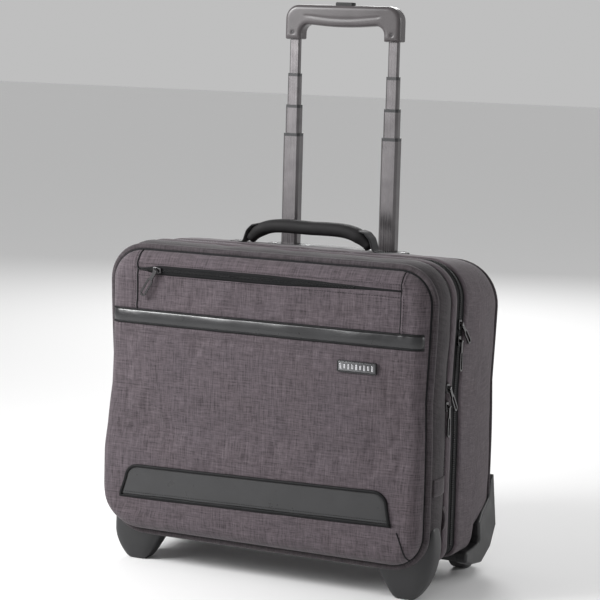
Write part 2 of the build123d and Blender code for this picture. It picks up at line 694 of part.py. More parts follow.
def build_parts():
    parts = {
        "rear_shell": rear_shell(),
        "back_board": back_board(),
        "laptop_divider": laptop_divider(),
        "main_zip_tape": main_zip_tape(),
        "outer_tube_left": outer_tube(-1),
        "outer_tube_right": outer_tube(1),
        "trolley_bezel": trolley_bezel(),
        "bottom_bracket": bottom_bracket(),
        "case_screws": case_screws(),
        "handle_anchors": handle_anchors(),
        "wheel_axles": wheel_axles(),
        "front_shell": front_shell(),
        "front_zip_tape": front_zip_tape(),
        "organiser_panel": organiser_panel(),
        "lower_pouch": lower_pouch(),
        "leather_panel": leather_panel(),
        "foot_screws": foot_screw_list(),
        "flap_panel": flap_panel(),
        "leather_band": leather_band(),
        "badge": badge(),
        "pocket_zip_tape": pocket_zip_tape(),
        "carry_handle_pad": handle_pad(),
        "grip_front": grip_half(True),
        "grip_back": grip_half(False),
        "grip_screws": grip_screws(),
        "push_button": push_button(),
        "release_bar": release_bar(),
        "button_spring": button_spring(),
    }
    for name, shape in (("wheel_housing", wheel_housing()), ("front_foot", front_foot()),
                        ("tyre", tyre()), ("hub", hub())):
        parts[name + "_right"] = shape
        parts[name + "_left"] = mirrored(shape)
    parts["bearings_right"] = bearings()
    parts["bearings_left"] = [mirrored(ring) for ring in bearings()]
    for stage in (1, 2, 3, 4):
        parts[f"stage_{stage}_tube_left"] = stage_tube(stage, -1)
        parts[f"stage_{stage}_tube_right"] = stage_tube(stage, 1)
        parts[f"stage_{stage}_guides"] = stage_guides(stage)
    for name, (plane, along_y, splay) in SLIDERS.items():
        parts[f"slider_{name}"] = plane * (slider(along_y) + Rot(0, 0, splay) * bail())
        parts[f"puller_{name}"] = plane * Rot(0, 0, splay) * puller()
    return parts


def write_parts():
    os.makedirs("parts", exist_ok=True)
    for name, shape in build_parts().items():
        solids = shape if isinstance(shape, list) else [shape]
        whole = Compound(children=[Solid(s.wrapped) for part in solids for s in part.solids()])
        export_step(whole, f"parts/{name}.step")


write_parts()
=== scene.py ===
"""Rolling laptop case: fabric, leather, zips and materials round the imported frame.

All lengths are in metres, except in the list of the front feet's sections, which is in millimetres.
"""

from contextlib import contextmanager
from math import copysign, cos, dist, exp, hypot, pi, radians, remainder, sin, sqrt

import bmesh
import bpy
from mathutils import Matrix, Vector, noise
from mathutils.bvhtree import BVHTree


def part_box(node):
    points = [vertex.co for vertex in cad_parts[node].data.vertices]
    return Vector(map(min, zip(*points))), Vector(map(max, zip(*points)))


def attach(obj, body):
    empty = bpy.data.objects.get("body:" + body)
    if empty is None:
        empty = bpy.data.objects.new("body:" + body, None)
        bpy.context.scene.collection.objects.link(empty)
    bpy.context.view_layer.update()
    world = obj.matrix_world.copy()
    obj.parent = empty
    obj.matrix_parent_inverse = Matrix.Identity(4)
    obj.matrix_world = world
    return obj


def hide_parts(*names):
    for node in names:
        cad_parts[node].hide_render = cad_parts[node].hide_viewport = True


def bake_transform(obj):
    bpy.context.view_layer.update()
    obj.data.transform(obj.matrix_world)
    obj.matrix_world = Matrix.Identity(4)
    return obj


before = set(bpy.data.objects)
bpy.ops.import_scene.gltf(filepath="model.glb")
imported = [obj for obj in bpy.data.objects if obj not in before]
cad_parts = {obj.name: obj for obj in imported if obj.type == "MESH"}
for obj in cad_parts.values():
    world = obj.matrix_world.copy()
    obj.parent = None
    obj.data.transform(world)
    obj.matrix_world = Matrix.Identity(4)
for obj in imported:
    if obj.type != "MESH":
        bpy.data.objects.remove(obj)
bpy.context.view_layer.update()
MM = 0.001
CASE_MIDDLE = Vector((0, 0, 0.22))
BACKWARDS, UPWARDS = Vector((0, 1, 0)), Vector((0, 0, 1))
SIDES = (("left", -1), ("right", 1))

# Outline of the case: a rounded rectangle at each depth y, smaller towards the back.
FRONT_HALF, FRONT_LOW, FRONT_HIGH, FRONT_CORNER = 0.218, 0.037, 0.409, 0.047
BACK_HALF, BACK_LOW, BACK_HIGH, BACK_CORNER = 0.216, 0.034, 0.393, 0.056
TIGHT_CORNER = 0.020
PIPING_Y = -0.094
PIPING_R = 0.0042
PIPING_OUT = -0.0030
PANEL_OUT = -0.0062
FLAP_ZIP_Y = -0.053
FLAP_ZIP_END_Z = 0.148
MAIN_ZIP_Y = -0.020
MAIN_ZIP_END_Z = 0.055
BACK_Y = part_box("rear_shell")[1].y
REAR_PIPING_Y = 0.106

# Steps along a ring round the case: its bottom and top, its sides, and each corner.
RING_WIDE, RING_TALL, RING_ARC = 72, 56, 12
WRINKLE_SIZE = 0.055

# Front panel: how far its two parts stand out from the piping, and the fold between them.
FLAP_BULGE = 0.020
POUCH_BULGE = 0.0255
FOLD_LOW, FOLD_HIGH = 0.142, 0.182
EDGE_ROLL = 0.019
LEFT_SEAM_X, RIGHT_SEAM_X = -0.177, 0.182
SEAM_LOW, SEAM_HIGH = 0.325, 0.402
POCKET_Z = 0.3795
BAND_LOW, BAND_HIGH = 0.311, 0.328
BAND_MIDDLE = (BAND_LOW + BAND_HIGH) / 2
BAND_REACH = 0.2105

# Curved seam at the pouch's right corner: x at its foot, how far it leans in, and its height.
DART_X, DART_LEAN = 0.199, 0.0115
DART_LOW, DART_TALL = 0.050, 0.039

# Leather shield on the pouch: x of its sides at the bottom and top, and how far its right end is higher.
SHIELD_LEFT = (-0.194, -0.186)
SHIELD_RIGHT = (0.178, 0.174)
SHIELD_LOW, SHIELD_HIGH = 0.0905, 0.1285
SHIELD_ROUND = 0.016
SHIELD_RISE = 0.0075

# Back wall: the sewn channels between its padded fields.
BACK_SEAM_X, BACK_SEAM_LOW, BACK_SEAM_HIGH = 0.104, 0.090, 0.345

# Thickness of the padded fabric, the leather, the thin pieces of fabric and the zips' tape; the size of one
# thread stitch; and the radii of seams and cords.
FRONT_PADDING, REAR_PADDING = 0.0030, 0.0035
LEATHER_THICK = 0.0012
TAB_THICK = 0.0012
TAPE_THICK = 0.0008
STITCH_PITCH, STITCH_THICK = 0.0034, 0.0006
# The last radius is the shield's lip: a black cord thick enough to paint the shadow under the shield's lower
# edge.
SEAM_R, BAND_CORD_R, SHIELD_PIPING_R, SHIELD_SHADOW_LIP_R = 0.0009, 0.0015, 0.0021, 0.0030

TUBE_Y = 0.102
HANDLE_Y = 0.014
GUARD_BASE_X, GUARD_LOW, GUARD_HIGH = 0.2170, 0.050, 0.116
GUARD_THINNING = 0.60
GRIP_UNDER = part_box("grip_front")[1].z - 0.021
CLOTH_FRAMES = 20


# ---------- small helpers ----------

def smooth_step(value, low, high):
    t = min(1.0, max(0.0, (value - low) / (high - low)))
    return t * t * (3 - 2 * t)


def bump(distance, width):
    return exp(-((distance / width) ** 2))


def ripple(x, y, z, size, seed):
    """Smooth noise between about -1 and 1, with features of the given size."""
    return noise.noise(Vector((x / size + seed * 7.3, y / size - seed * 3.1, z / size + seed)))


def linked(name, data):
    """A new object in the scene, from a mesh, a camera or a light."""
    obj = bpy.data.objects.new(name, data)
    bpy.context.scene.collection.objects.link(obj)
    return obj


def mesh_object(name, points, faces, material, uvs=None, inner=None):
    """A smooth-shaded mesh; uvs gives one (u, v) for each point, in metres."""
    mesh = bpy.data.meshes.new(name)
    mesh.from_pydata([tuple(p) for p in points], [], faces)
    mesh.materials.append(material)
    if inner:
        mesh.materials.append(inner)
    if uvs is not None:
        layer = mesh.uv_layers.new(name="weave")
        for loop in mesh.loops:
            layer.data[loop.index].uv = uvs[loop.vertex_index]
    for polygon in mesh.polygons:
        polygon.use_smooth = True
    return linked(name, mesh)


@contextmanager
def editing(mesh):
    """A mesh opened for changes to its faces, which go back into it at the end."""
    data = bmesh.new()
    data.from_mesh(mesh)
    yield data
    data.to_mesh(mesh)
    data.free()


def closed_outwards(obj):
    """Turns a closed skin's faces outwards."""
    with editing(obj.data) as data:
        bmesh.ops.recalc_face_normals(data, faces=data.faces)
    return obj


def face_outwards(obj):
    """Turns an open shell's faces so that they look away from the middle of the case."""
    total = sum(p.area * p.normal.dot(p.center - CASE_MIDDLE) for p in obj.data.polygons)
    if total < 0:
        obj.data.flip_normals()
    return obj


def apply_modifiers(obj):
    depsgraph = bpy.context.evaluated_depsgraph_get()
    mesh = bpy.data.meshes.new_from_object(obj.evaluated_get(depsgraph))
    obj.modifiers.clear()
    obj.data = mesh
    return obj


def thicken(obj, thickness, inner_slot=False):
    """Gives a sheet its thickness, towards its inner side."""
    solidify = obj.modifiers.new("thick", "SOLIDIFY")
    solidify.thickness = thickness
    solidify.offset = -1
    solidify.use_even_offset = False
    if inner_slot:
        solidify.material_offset = 1
        solidify.material_offset_rim = 1
    return apply_modifiers(obj)


def subdivide(obj, levels=1):
    surface = obj.modifiers.new("smooth", "SUBSURF")
    surface.levels = levels
    surface.render_levels = levels
    return apply_modifiers(obj)


def drop_faces(obj, inside):
    """Removes the faces whose centre is in a region."""
    with editing(obj.data) as data:
        doomed = [f for f in data.faces if inside(f.calc_center_median())]
        bmesh.ops.delete(data, geom=doomed, context="FACES")


def grid_faces(rows, columns, closed=False):
    """Faces of a grid of points, row by row; closed joins the last column to the first."""
    wide = columns if closed else columns - 1
    return [
        (r * columns + c, r * columns + (c + 1) % columns,
         (r + 1) * columns + (c + 1) % columns, (r + 1) * columns + c)
        for r in range(rows - 1) for c in range(wide)
    ]


def sheet(name, rows, columns, place, material):
    """Open sheet: place(u, v) gives a point and its place on the cloth, for u and v from 0 to 1."""
    placed = [place(c / (columns - 1), r / (rows - 1)) for r in range(rows) for c in range(columns)]
    points, uvs = zip(*placed)
    return mesh_object(name, points, grid_faces(rows, columns), material, uvs)


def end_faces(count, sides):
    """Faces that close the first and the last ring of a skin of count points."""
    return [tuple(range(sides)), tuple(count - 1 - k for k in range(sides))]


def skin(name, points, sides, material, uvs, closed=False):
    """Closed skin over rings of points; closed joins the last ring to the first."""
    faces = grid_faces(len(points) // sides, sides, True)
    if closed:
        last = len(points) - sides
        faces += [(last + k, last + (k + 1) % sides, (k + 1) % sides, k) for k in range(sides)]
    else:
        faces += end_faces(len(points), sides)
    return closed_outwards(mesh_object(name, points, faces, material, uvs))


def add(piece, slot, body, *nodes, fill=None):
    """Attaches a piece to its body and hides the CAD nodes that it replaces; slot and fill are not used."""
    if nodes:
        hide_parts(*nodes)
    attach(piece, body)
    return piece


# ---------- materials ----------

class Shader:
    """A node material built up in a few lines."""

    def __init__(self, name, colour, roughness, metallic=0.0):
        self.material = bpy.data.materials.new(name)
        self.material.use_nodes = True
        self.tree = self.material.node_tree
        self.base = self.tree.nodes["Principled BSDF"]
        self.base.inputs["Base Color"].default_value = (*colour, 1)
        self.base.inputs["Roughness"].default_value = roughness
        self.base.inputs["Metallic"].default_value = metallic
        self.height = None

    def add(self, kind, inputs=None, **settings):
        node = self.tree.nodes.new(kind)
        for key, value in settings.items():
            setattr(node, key, value)
        for key, value in (inputs or {}).items():
            self.feed(node.inputs[key], value)
        return node

    def feed(self, socket, value):
        if isinstance(value, bpy.types.NodeSocket):
            self.tree.links.new(value, socket)
        elif isinstance(value, tuple) and len(value) == 3 and socket.type == "RGBA":
            socket.default_value = (*value, 1)
        else:
            socket.default_value = value

    def place(self, source, scale):
        """Coordinates in metres times scale: source is weave for a sheet's own, or solid for space."""
        if source == "weave":
            vector = self.add("ShaderNodeUVMap", uv_map="weave").outputs["UV"]
        else:
            vector = self.add("ShaderNodeTexCoord").outputs["Object"]
        scales = scale if isinstance(scale, tuple) else (scale, scale, scale)
        return self.add("ShaderNodeMapping", {"Vector": vector, "Scale": scales}).outputs["Vector"]

    def noise(self, source, scale, detail=2.0, roughness=0.5):
        node = self.add("ShaderNodeTexNoise", {"Vector": self.place(source, scale), "Scale": 1.0,
                                               "Detail": detail, "Roughness": roughness})
        return node.outputs["Fac"]

    def waves(self, source, scale, direction):
        node = self.add("ShaderNodeTexWave", {"Vector": self.place(source, scale), "Scale": 1.0},
                        bands_direction=direction)
        return node.outputs["Fac"]

    def math(self, operation, a, b):
        node = self.add("ShaderNodeMath", operation=operation)
        self.feed(node.inputs[0], a)
        self.feed(node.inputs[1], b)
        return node.outputs[0]

    def spread(self, value, low, high, to_low=0.0, to_high=1.0):
        node = self.add("ShaderNodeMapRange", {"Value": value, "From Min": low, "From Max": high,
                                               "To Min": to_low, "To Max": to_high})
        return node.outputs["Result"]

    def colour(self, factor, first, second, blend="MIX"):
        node = self.add("ShaderNodeMix", data_type="RGBA", blend_type=blend)
        self.feed(node.inputs["Factor"], factor)
        self.feed(node.inputs[6], first)
        self.feed(node.inputs[7], second)
        return node.outputs[2]

    def set(self, **values):
        for key, value in values.items():
            self.feed(self.base.inputs[key.replace("_", " ")], value)
        return self

    def worn(self, gloss, less, more, tone, low, high, gain):
        """Varies the roughness with gloss, and the colour with tone up to gain times itself."""
        roughness = self.base.inputs["Roughness"].default_value
        colour = tuple(self.base.inputs["Base Color"].default_value)[:3]
        varied = tuple(gain * c for c in colour)
        self.set(Roughness=self.spread(gloss, 0.3, 0.7, roughness - less, roughness + more),
                 Base_Color=self.colour(self.spread(tone, low, high), colour, varied))

    def relief(self, height, distance, strength):
        """Adds a bump of the given depth on top of the ones before it."""
        inputs = {"Height": height, "Distance": distance, "Strength": strength}
        if self.height:
            inputs["Normal"] = self.height
        self.height = self.add("ShaderNodeBump", inputs).outputs["Normal"]
        self.feed(self.base.inputs["Normal"], self.height)
        return self


def melange_fabric(name, dark, light):
    """Two-tone woven polyester: fine slubs along both threads, over a plain weave."""
    s = Shader(name, light, 0.85)
    weft = s.noise("weave", (90, 1000, 1), 3.0, 0.65)
    warp = s.noise("weave", (1000, 80, 1), 3.0, 0.65)
    long_weft = s.noise("weave", (30, 520, 1), 2.0)
    long_warp = s.noise("weave", (520, 26, 1), 2.0)
    threads = s.math("ADD", s.math("MULTIPLY", weft, 0.5), s.math("MULTIPLY", warp, 0.5))
    slubs = s.math("SUBTRACT", s.math("ADD", long_weft, long_warp), 1.0)
    tone = s.math("ADD", threads, s.math("MULTIPLY", slubs, 0.34))
    base = s.colour(s.spread(tone, 0.28, 0.72), dark, light)
    tint = s.colour(s.noise("weave", (14, 14, 1)), (1.0, 0.915, 0.94), (0.955, 0.91, 0.975))
    s.set(Base_Color=s.colour(1.0, base, tint, "MULTIPLY"), Sheen_Weight=0.12, Sheen_Roughness=0.5,
          Specular_IOR_Level=0.15)
    weave = s.math("MULTIPLY", s.waves("weave", (350, 350, 1), "X"), s.waves("weave", (350, 350, 1), "Y"))
    s.relief(weave, 0.00012, 0.5)
    s.relief(threads, 0.00035, 0.6)
    return s.material


def twill_lining():
    s = Shader("lining", (0.05, 0.05, 0.055), 0.75)
    ribs = s.waves("solid", 500, "DIAGONAL")
    patches = s.spread(s.noise("solid", 45), 0.3, 0.7)
    s.set(Base_Color=s.colour(patches, (0.04, 0.04, 0.046), (0.065, 0.065, 0.072)),
          Sheen_Weight=0.25, Specular_IOR_Level=0.3)
    return s.relief(ribs, 0.0001, 0.6).material


def leather(name, colour, roughness, grain, coat=0.25, gloss=0.5):
    """Coated leather: fine grain, soft creases and uneven gloss."""
    s = Shader(name, colour, roughness)
    pebbles = s.noise("solid", grain, 3.0, 0.6)
    creases = s.noise("solid", 70, 5.0, 0.6)
    s.worn(creases, 0.07, 0.08, creases, 0.35, 0.65, 1.5)
    s.set(Specular_IOR_Level=gloss, Coat_Weight=coat, Coat_Roughness=0.3)
    s.relief(pebbles, 0.00005, 0.4)
    return s.relief(creases, 0.0006, 0.3).material


def moulded(name, colour, roughness, texture=0.00006):
    """Moulded plastic with a fine spark texture and faint flow in its gloss."""
    s = Shader(name, colour, roughness)
    grain = s.noise("solid", 2600, 2.0)
    flow = s.noise("solid", 30, 3.0)
    s.worn(flow, 0.06, 0.07, flow, 0.3, 0.7, 1.25)
    return s.relief(grain, texture, 0.6).material


def webbing(name, colour, sheen=0.2):
    """Ribbed woven tape."""
    s = Shader(name, colour, 0.7)
    ribs = s.waves("weave", (420, 420, 1), "Y")
    threads = s.noise("weave", (1500, 120, 1), 2.0)
    s.set(Base_Color=s.colour(threads, colour, tuple(2.0 * c for c in colour)),
          Sheen_Weight=sheen, Specular_IOR_Level=0.2)
    s.relief(ribs, 0.0003, 0.7)
    return s.relief(threads, 0.0002, 0.5).material


def brushed_metal(name, colour, roughness, along):
    """Metal with fine lines along one axis: along is the scale along each axis."""
    s = Shader(name, colour, roughness, metallic=1.0)
    lines = s.noise("solid", along, 2.0)
    wear = s.noise("solid", 60, 4.0)
    s.worn(lines, 0.08, 0.1, wear, 0.3, 0.7, 0.8)
    return s.relief(lines, 0.00003, 0.5).material


def rubber(name):
    s = Shader(name, (0.022, 0.022, 0.023), 0.75)
    dust = s.spread(s.noise("solid", 90, 5.0), 0.45, 0.75)
    s.set(Base_Color=s.colour(dust, (0.02, 0.02, 0.021), (0.06, 0.058, 0.055)))
    return s.relief(s.noise("solid", 1500), 0.0001, 0.6).material


FABRIC = melange_fabric("melange_fabric", (0.027, 0.0236, 0.0252), (0.130, 0.1145, 0.122))
PIPING_FABRIC = melange_fabric("piping_fabric", (0.020, 0.018, 0.019), (0.085, 0.078, 0.081))
# Painted shade: the gusset's fabric is the case's fabric at about half its brightness, for the shade that
# falls between the front panel and the zip.
SHADED_GUSSET_FABRIC = melange_fabric("gusset_fabric_painted_shade", (0.013, 0.012, 0.0125), (0.060, 0.055, 0.057))
LINING = twill_lining()
LEATHER = leather("smooth_leather", (0.008, 0.008, 0.009), 0.32, 1600)
BAND_LEATHER = leather("glossy_leather", (0.006, 0.006, 0.007), 0.33, 1800, 0.2)
EDGE_LEATHER = leather("edge_leather", (0.004, 0.004, 0.0045), 0.62, 1500, 0.0, 0.2)
HANDLE_LEATHER = leather("handle_leather", (0.010, 0.0095, 0.010), 0.70, 1100, 0.0, 0.25)
WEBBING = webbing("black_webbing", (0.012, 0.012, 0.013))
ZIP_TAPE = webbing("zip_tape", (0.004, 0.004, 0.0045), 0.0)
COIL = moulded("zip_coil", (0.012, 0.012, 0.013), 0.32)
THREAD = webbing("thread", (0.008, 0.008, 0.009), 0.0)
HARD_PLASTIC = moulded("hard_plastic", (0.010, 0.010, 0.011), 0.42)
BEZEL_PLASTIC = moulded("bezel_plastic", (0.009, 0.009, 0.010), 0.6, 0.00002)
GRIP_PLASTIC = moulded("grip_plastic", (0.052, 0.046, 0.048), 0.36, 0.00004)
GUIDE_PLASTIC = moulded("guide_plastic", (0.02, 0.02, 0.022), 0.45)
BOARD_PLASTIC = moulded("board_plastic", (0.03, 0.03, 0.032), 0.5)
TUBE_METAL = brushed_metal("tube_metal", (0.19, 0.180, 0.185), 0.30, (1500, 1500, 12))
STEEL = brushed_metal("plated_steel", (0.55, 0.55, 0.57), 0.25, 900)
BLACK_NICKEL = brushed_metal("black_nickel", (0.09, 0.088, 0.09), 0.22, 700)
BADGE_METAL = brushed_metal("badge_metal", (0.16, 0.16, 0.165), 0.30, (40, 2500, 2500))
BADGE_BAR_METAL = brushed_metal("badge_bar_metal", (0.62, 0.62, 0.64), 0.24, (2500, 2500, 60))
BADGE_FRAME = moulded("badge_frame", (0.01, 0.01, 0.011), 0.2, 0.00001)
RUBBER = rubber("tyre_rubber")

STAGES = [f"stage_{n}" for n in (1, 2, 3, 4)]
NODE_MATERIALS = {
    TUBE_METAL: [f"{part}_tube_{label}" for part in ("outer", *STAGES) for label, _ in SIDES],
    GUIDE_PLASTIC: ["bottom_bracket"] + [f"{stage}_guides" for stage in STAGES],
    BEZEL_PLASTIC: ["trolley_bezel", "push_button", "release_bar"],
    GRIP_PLASTIC: ["grip_front", "grip_back"],
    HARD_PLASTIC: [f"{part}_{label}" for label, _ in SIDES
                   for part in ("wheel_housing", "front_foot", "hub")],
    BOARD_PLASTIC: ["back_board"],
    RUBBER: ["tyre_left", "tyre_right"],
    STEEL: ["wheel_axles", "foot_screws", "button_spring", "bearings_left", "bearings_right"],
    BLACK_NICKEL: ["case_screws", "grip_screws"]
    + [f"{kind}_{name}" for kind in ("slider", "puller")
       for name in ("main_upper", "main_lower", "flap_upper", "flap_lower", "pocket")],
}


def shade_by_angle(obj, degrees):
    """Smooth shading with hard edges where the surface turns sharply."""
    mesh = obj.data
    for polygon in mesh.polygons:
        polygon.use_smooth = True
    limit = radians(degrees)
    with editing(mesh) as data:
        sharp = [e.index for e in data.edges if len(e.link_faces) != 2 or e.calc_face_angle(0) > limit]
    attribute = mesh.attributes.get("sharp_edge") or mesh.attributes.new("sharp_edge", "BOOLEAN", "EDGE")
    for index in sharp:
        attribute.data[index].value = True


def paint(mesh, material):
    mesh.materials.clear()
    mesh.materials.append(material)


def dress_cad_nodes():
    for material, names in NODE_MATERIALS.items():
        for name in names:
            paint(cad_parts[name].data, material)


# ---------- outline of the case ----------

def between(first, last, share):
    return first + share * (last - first)


def straight(start, end, count):
    """Points at even distances from start to end."""
    return [tuple(between(a, b, i / count) for a, b in zip(start, end)) for i in range(count + 1)]


def outline(y, out=0.0):
    """Half width, lowest and highest z, and corner radius of the case at depth y, grown by out."""
    t = min(1.0, max(0.0, (y - MAIN_ZIP_Y) / (BACK_Y - MAIN_ZIP_Y)))
    half = between(FRONT_HALF, BACK_HALF, t) + out
    low = between(FRONT_LOW, BACK_LOW, t) - out
    high = between(FRONT_HIGH, BACK_HIGH, t) + out
    return half, low, high, between(FRONT_CORNER, BACK_CORNER, t) + out


def bowed(x, z):
    """The soft sides lean in a little at the top, the left one more, and belly out low down."""
    belly = 0.0020
    lean = 0.0060 if x > 0 else 0.0085
    move = belly - lean * smooth_step(z, 0.16, 0.38)
    return x + copysign(move, x) * smooth_step(abs(x), 0.12, 0.20)


def low_corner(y, out):
    """Radius of the two bottom corners: the boxy rear section sits tighter on its base than the front."""
    full = outline(y, out)[3]
    tight = smooth_step(y, -0.078, -0.030) * (1 - smooth_step(y, 0.040, 0.056))
    return between(full, TIGHT_CORNER + out, tight)


def ring(y, out=0.0):
    """Points round the case at depth y, from the bottom left, as (point, outward normal)."""
    half, low, high, corner = outline(y, out)
    base = low_corner(y, out)
    centres = [(half - base, low + base, base), (half - corner, high - corner, corner),
               (corner - half, high - corner, corner), (base - half, low + base, base)]
    flat = [(between(base - half, half - base, i / RING_WIDE), low, 0, -1) for i in range(RING_WIDE)]
    side_run = (high - low - corner - base, RING_TALL)
    top_run = (2 * half - 2 * corner, RING_WIDE)
    runs = [(side_run, (1, 0)), (top_run, (0, 1)), (side_run, (-1, 0))]
    for quarter, (cx, cz, radius) in enumerate(centres):
        for i in range(RING_ARC):
            a = pi / 2 * (quarter - 1 + i / RING_ARC)
            flat.append((cx + radius * cos(a), cz + radius * sin(a), cos(a), sin(a)))
        if quarter < len(runs):
            (length, count), (nx, nz) = runs[quarter]
            sx, sz = cx + radius * nx, cz + radius * nz
            steps = [length * i / count for i in range(count)]
            flat += [(sx - nz * step, sz + nx * step, nx, nz) for step in steps]
    return [(Vector((bowed(x, z), y, z)), Vector((nx, 0, nz))) for x, z, nx, nz in flat]


def crumpled(point, normal, amount, size, seed):
    """Moves a point along its normal by soft wrinkles of two sizes."""
    value = ripple(*point, size, seed) + 0.5 * ripple(*point, size / 2, seed + 5)
    return point + normal * (amount * value)


def ring_shell(name, stations, material, wrinkle=0.0, seed=1, inner=None):
    """Shell through rings; stations is a list of (y, out). A shell with an inner material is fabric, whose
    weft runs from front to back."""
    points, uvs = [], []
    depth = 0.0
    for i, station in enumerate(stations):
        depth += dist(station, stations[i - 1]) if i else 0.0
        loop = ring(*station)
        along = 0.0
        for k, (point, normal) in enumerate(loop):
            along += (point - loop[k - 1][0]).length if k else 0.0
            points.append(crumpled(point, normal, wrinkle, WRINKLE_SIZE, seed) if wrinkle else point)
            uvs.append((depth, along) if inner else (along, depth))
    faces = grid_faces(len(stations), len(loop), True)
    return face_outwards(mesh_object(name, points, faces, material, uvs, inner))


def spaced(stations, gap):
    """Smooth curve through a few (y, out) stations, about every gap."""
    result = []
    last = len(stations) - 1
    for i in range(last):
        near = (stations[max(i - 1, 0)], stations[i], stations[i + 1], stations[min(i + 2, last)])
        steps = max(1, round(dist(near[1], near[2]) / gap))
        for t in (k / steps for k in range(steps)):
            result.append(tuple(
                0.5 * (2 * b + (c - a) * t + (2 * a - 5 * b + 4 * c - d) * t * t
                       + (3 * b - 3 * c + d - a) * t ** 3)
                for a, b, c, d in zip(*near)))
    return result + [stations[-1]]


# ---------- tubes, straps and stitches along a path ----------

def path_frames(path, closed):
    """Two side directions at each point of a path, turned as little as possible along it."""
    frames = []
    last = len(path) - 1
    side = None
    for i in range(len(path)):
        if closed:
            tangent = path[(i + 1) % len(path)] - path[i - 1]
        else:
            tangent = path[min(i + 1, last)] - path[max(i - 1, 0)]
        tangent.normalize()
        side = tangent.orthogonal() if side is None else side - tangent * side.dot(tangent)
        side.normalize()
        frames.append((side, side.cross(tangent).normalized()))
    return frames


def tube(name, path, radius, material, sides, closed=False):
    """Round bar along a path."""
    points, uvs = [], []
    along = 0.0
    for i, (point, (side, lift)) in enumerate(zip(path, path_frames(path, closed))):
        along += (point - path[i - 1]).length if i else 0.0
        for k in range(sides):
            angle = 2 * pi * k / sides
            points.append(point + side * (radius * cos(angle)) + lift * (radius * sin(angle)))
            uvs.append((along, radius * angle))
    return skin(name, points, sides, material, uvs, closed)


def strap(name, path, width, thickness, across, material):
    """Flat webbing with rounded edges along a path; across is the direction of its width."""
    across = Vector(across).normalized()
    quarter = [(0.5, 0.25), (0.47, 0.5), (0.2, 0.5)]
    profile = [(-a, -b) for a, b in quarter] + [(a, -b) for a, b in reversed(quarter)]
    profile += [(-a, -b) for a, b in profile]
    points, uvs = [], []
    along = 0.0
    for i, point in enumerate(path):
        along += (point - path[i - 1]).length if i else 0.0
        tangent = (path[min(i + 1, len(path) - 1)] - path[max(i - 1, 0)]).normalized()
        lift = tangent.cross(across).normalized()
        for a, b in profile:
            points.append(point + across * (a * width) + lift * (b * thickness))
            uvs.append((a * width, along))
    return skin(name, points, len(profile), material, uvs)


def resampled(path, gap):
    """Points at even distances along a path, each with its tangent and its stretch's number."""
    lengths = [0.0]
    for a, b in zip(path, path[1:]):
        lengths.append(lengths[-1] + (b - a).length)
    count = max(1, int(lengths[-1] / gap))
    result = []
    k = 0
    for i in range(count + 1):
        target = lengths[-1] * i / count
        while k < len(path) - 2 and lengths[k + 1] < target:
            k += 1
        t = (target - lengths[k]) / max(lengths[k + 1] - lengths[k], 1e-9)
        result.append((path[k].lerp(path[k + 1], t), (path[k + 1] - path[k]).normalized(), k))
    return result


def fine_path(path, gap):
    return [point for point, _, _ in resampled(path, gap)]


BEAD = [(-0.5, 0, 0), (-0.3, 0.5, 0), (-0.3, 0, 0.5), (-0.3, -0.5, 0), (-0.3, 0, -0.5),
        (0.3, 0.5, 0), (0.3, 0, 0.5), (0.3, -0.5, 0), (0.3, 0, -0.5), (0.5, 0, 0)]
BEAD_FACES = [(0, 2, 1), (0, 3, 2), (0, 4, 3), (0, 1, 4), (1, 2, 6, 5), (2, 3, 7, 6), (3, 4, 8, 7),
              (4, 1, 5, 8), (9, 5, 6), (9, 6, 7), (9, 7, 8), (9, 8, 5)]


def beads(name, places, size, material):
    """Many small rounded bars: places is a list of (centre, long direction, normal), size is their box."""
    points, faces = [], []
    for centre, direction, normal in places:
        side = normal.cross(direction).normalized()
        start = len(points)
        for a, b, c in BEAD:
            points.append(centre + direction * (a * size[0]) + side * (b * size[1]) + normal * (c * size[2]))
        faces += [tuple(start + k for k in face) for face in BEAD_FACES]
    return mesh_object(name, points, faces, material, [(p.x + p.y, p.z) for p in points])


def stitches(name, path, normals, pitch=STITCH_PITCH):
    """A row of thread stitches lying on a surface along a path; normals gives one for each point of it."""
    places = []
    for point, tangent, k in resampled(path, pitch):
        normal = normals[k]
        direction = (tangent - normal * tangent.dot(normal)).normalized()
        places.append((point, direction, normal))
    return beads(name, places, (pitch * 0.68, STITCH_THICK, STITCH_THICK), THREAD)


def coil(name, path, normals, width, pitch=0.0019):
    """Zip chain: slanted coil turns in two rows that mesh along the middle of a path."""
    slant = 0.18
    places = []
    for point, tangent, k in resampled(path, pitch):
        side = normals[k].cross(tangent).normalized()
        for row in (-1, 1):
            centre = point + side * (row * width * 0.22) + tangent * (pitch * 0.25 * row)
            places.append((centre, (side + tangent * (slant * row)).normalized(), normals[k]))
    return beads(name, places, (width * 0.56, pitch * 0.62, 0.0016), COIL)


# ---------- cloth ----------

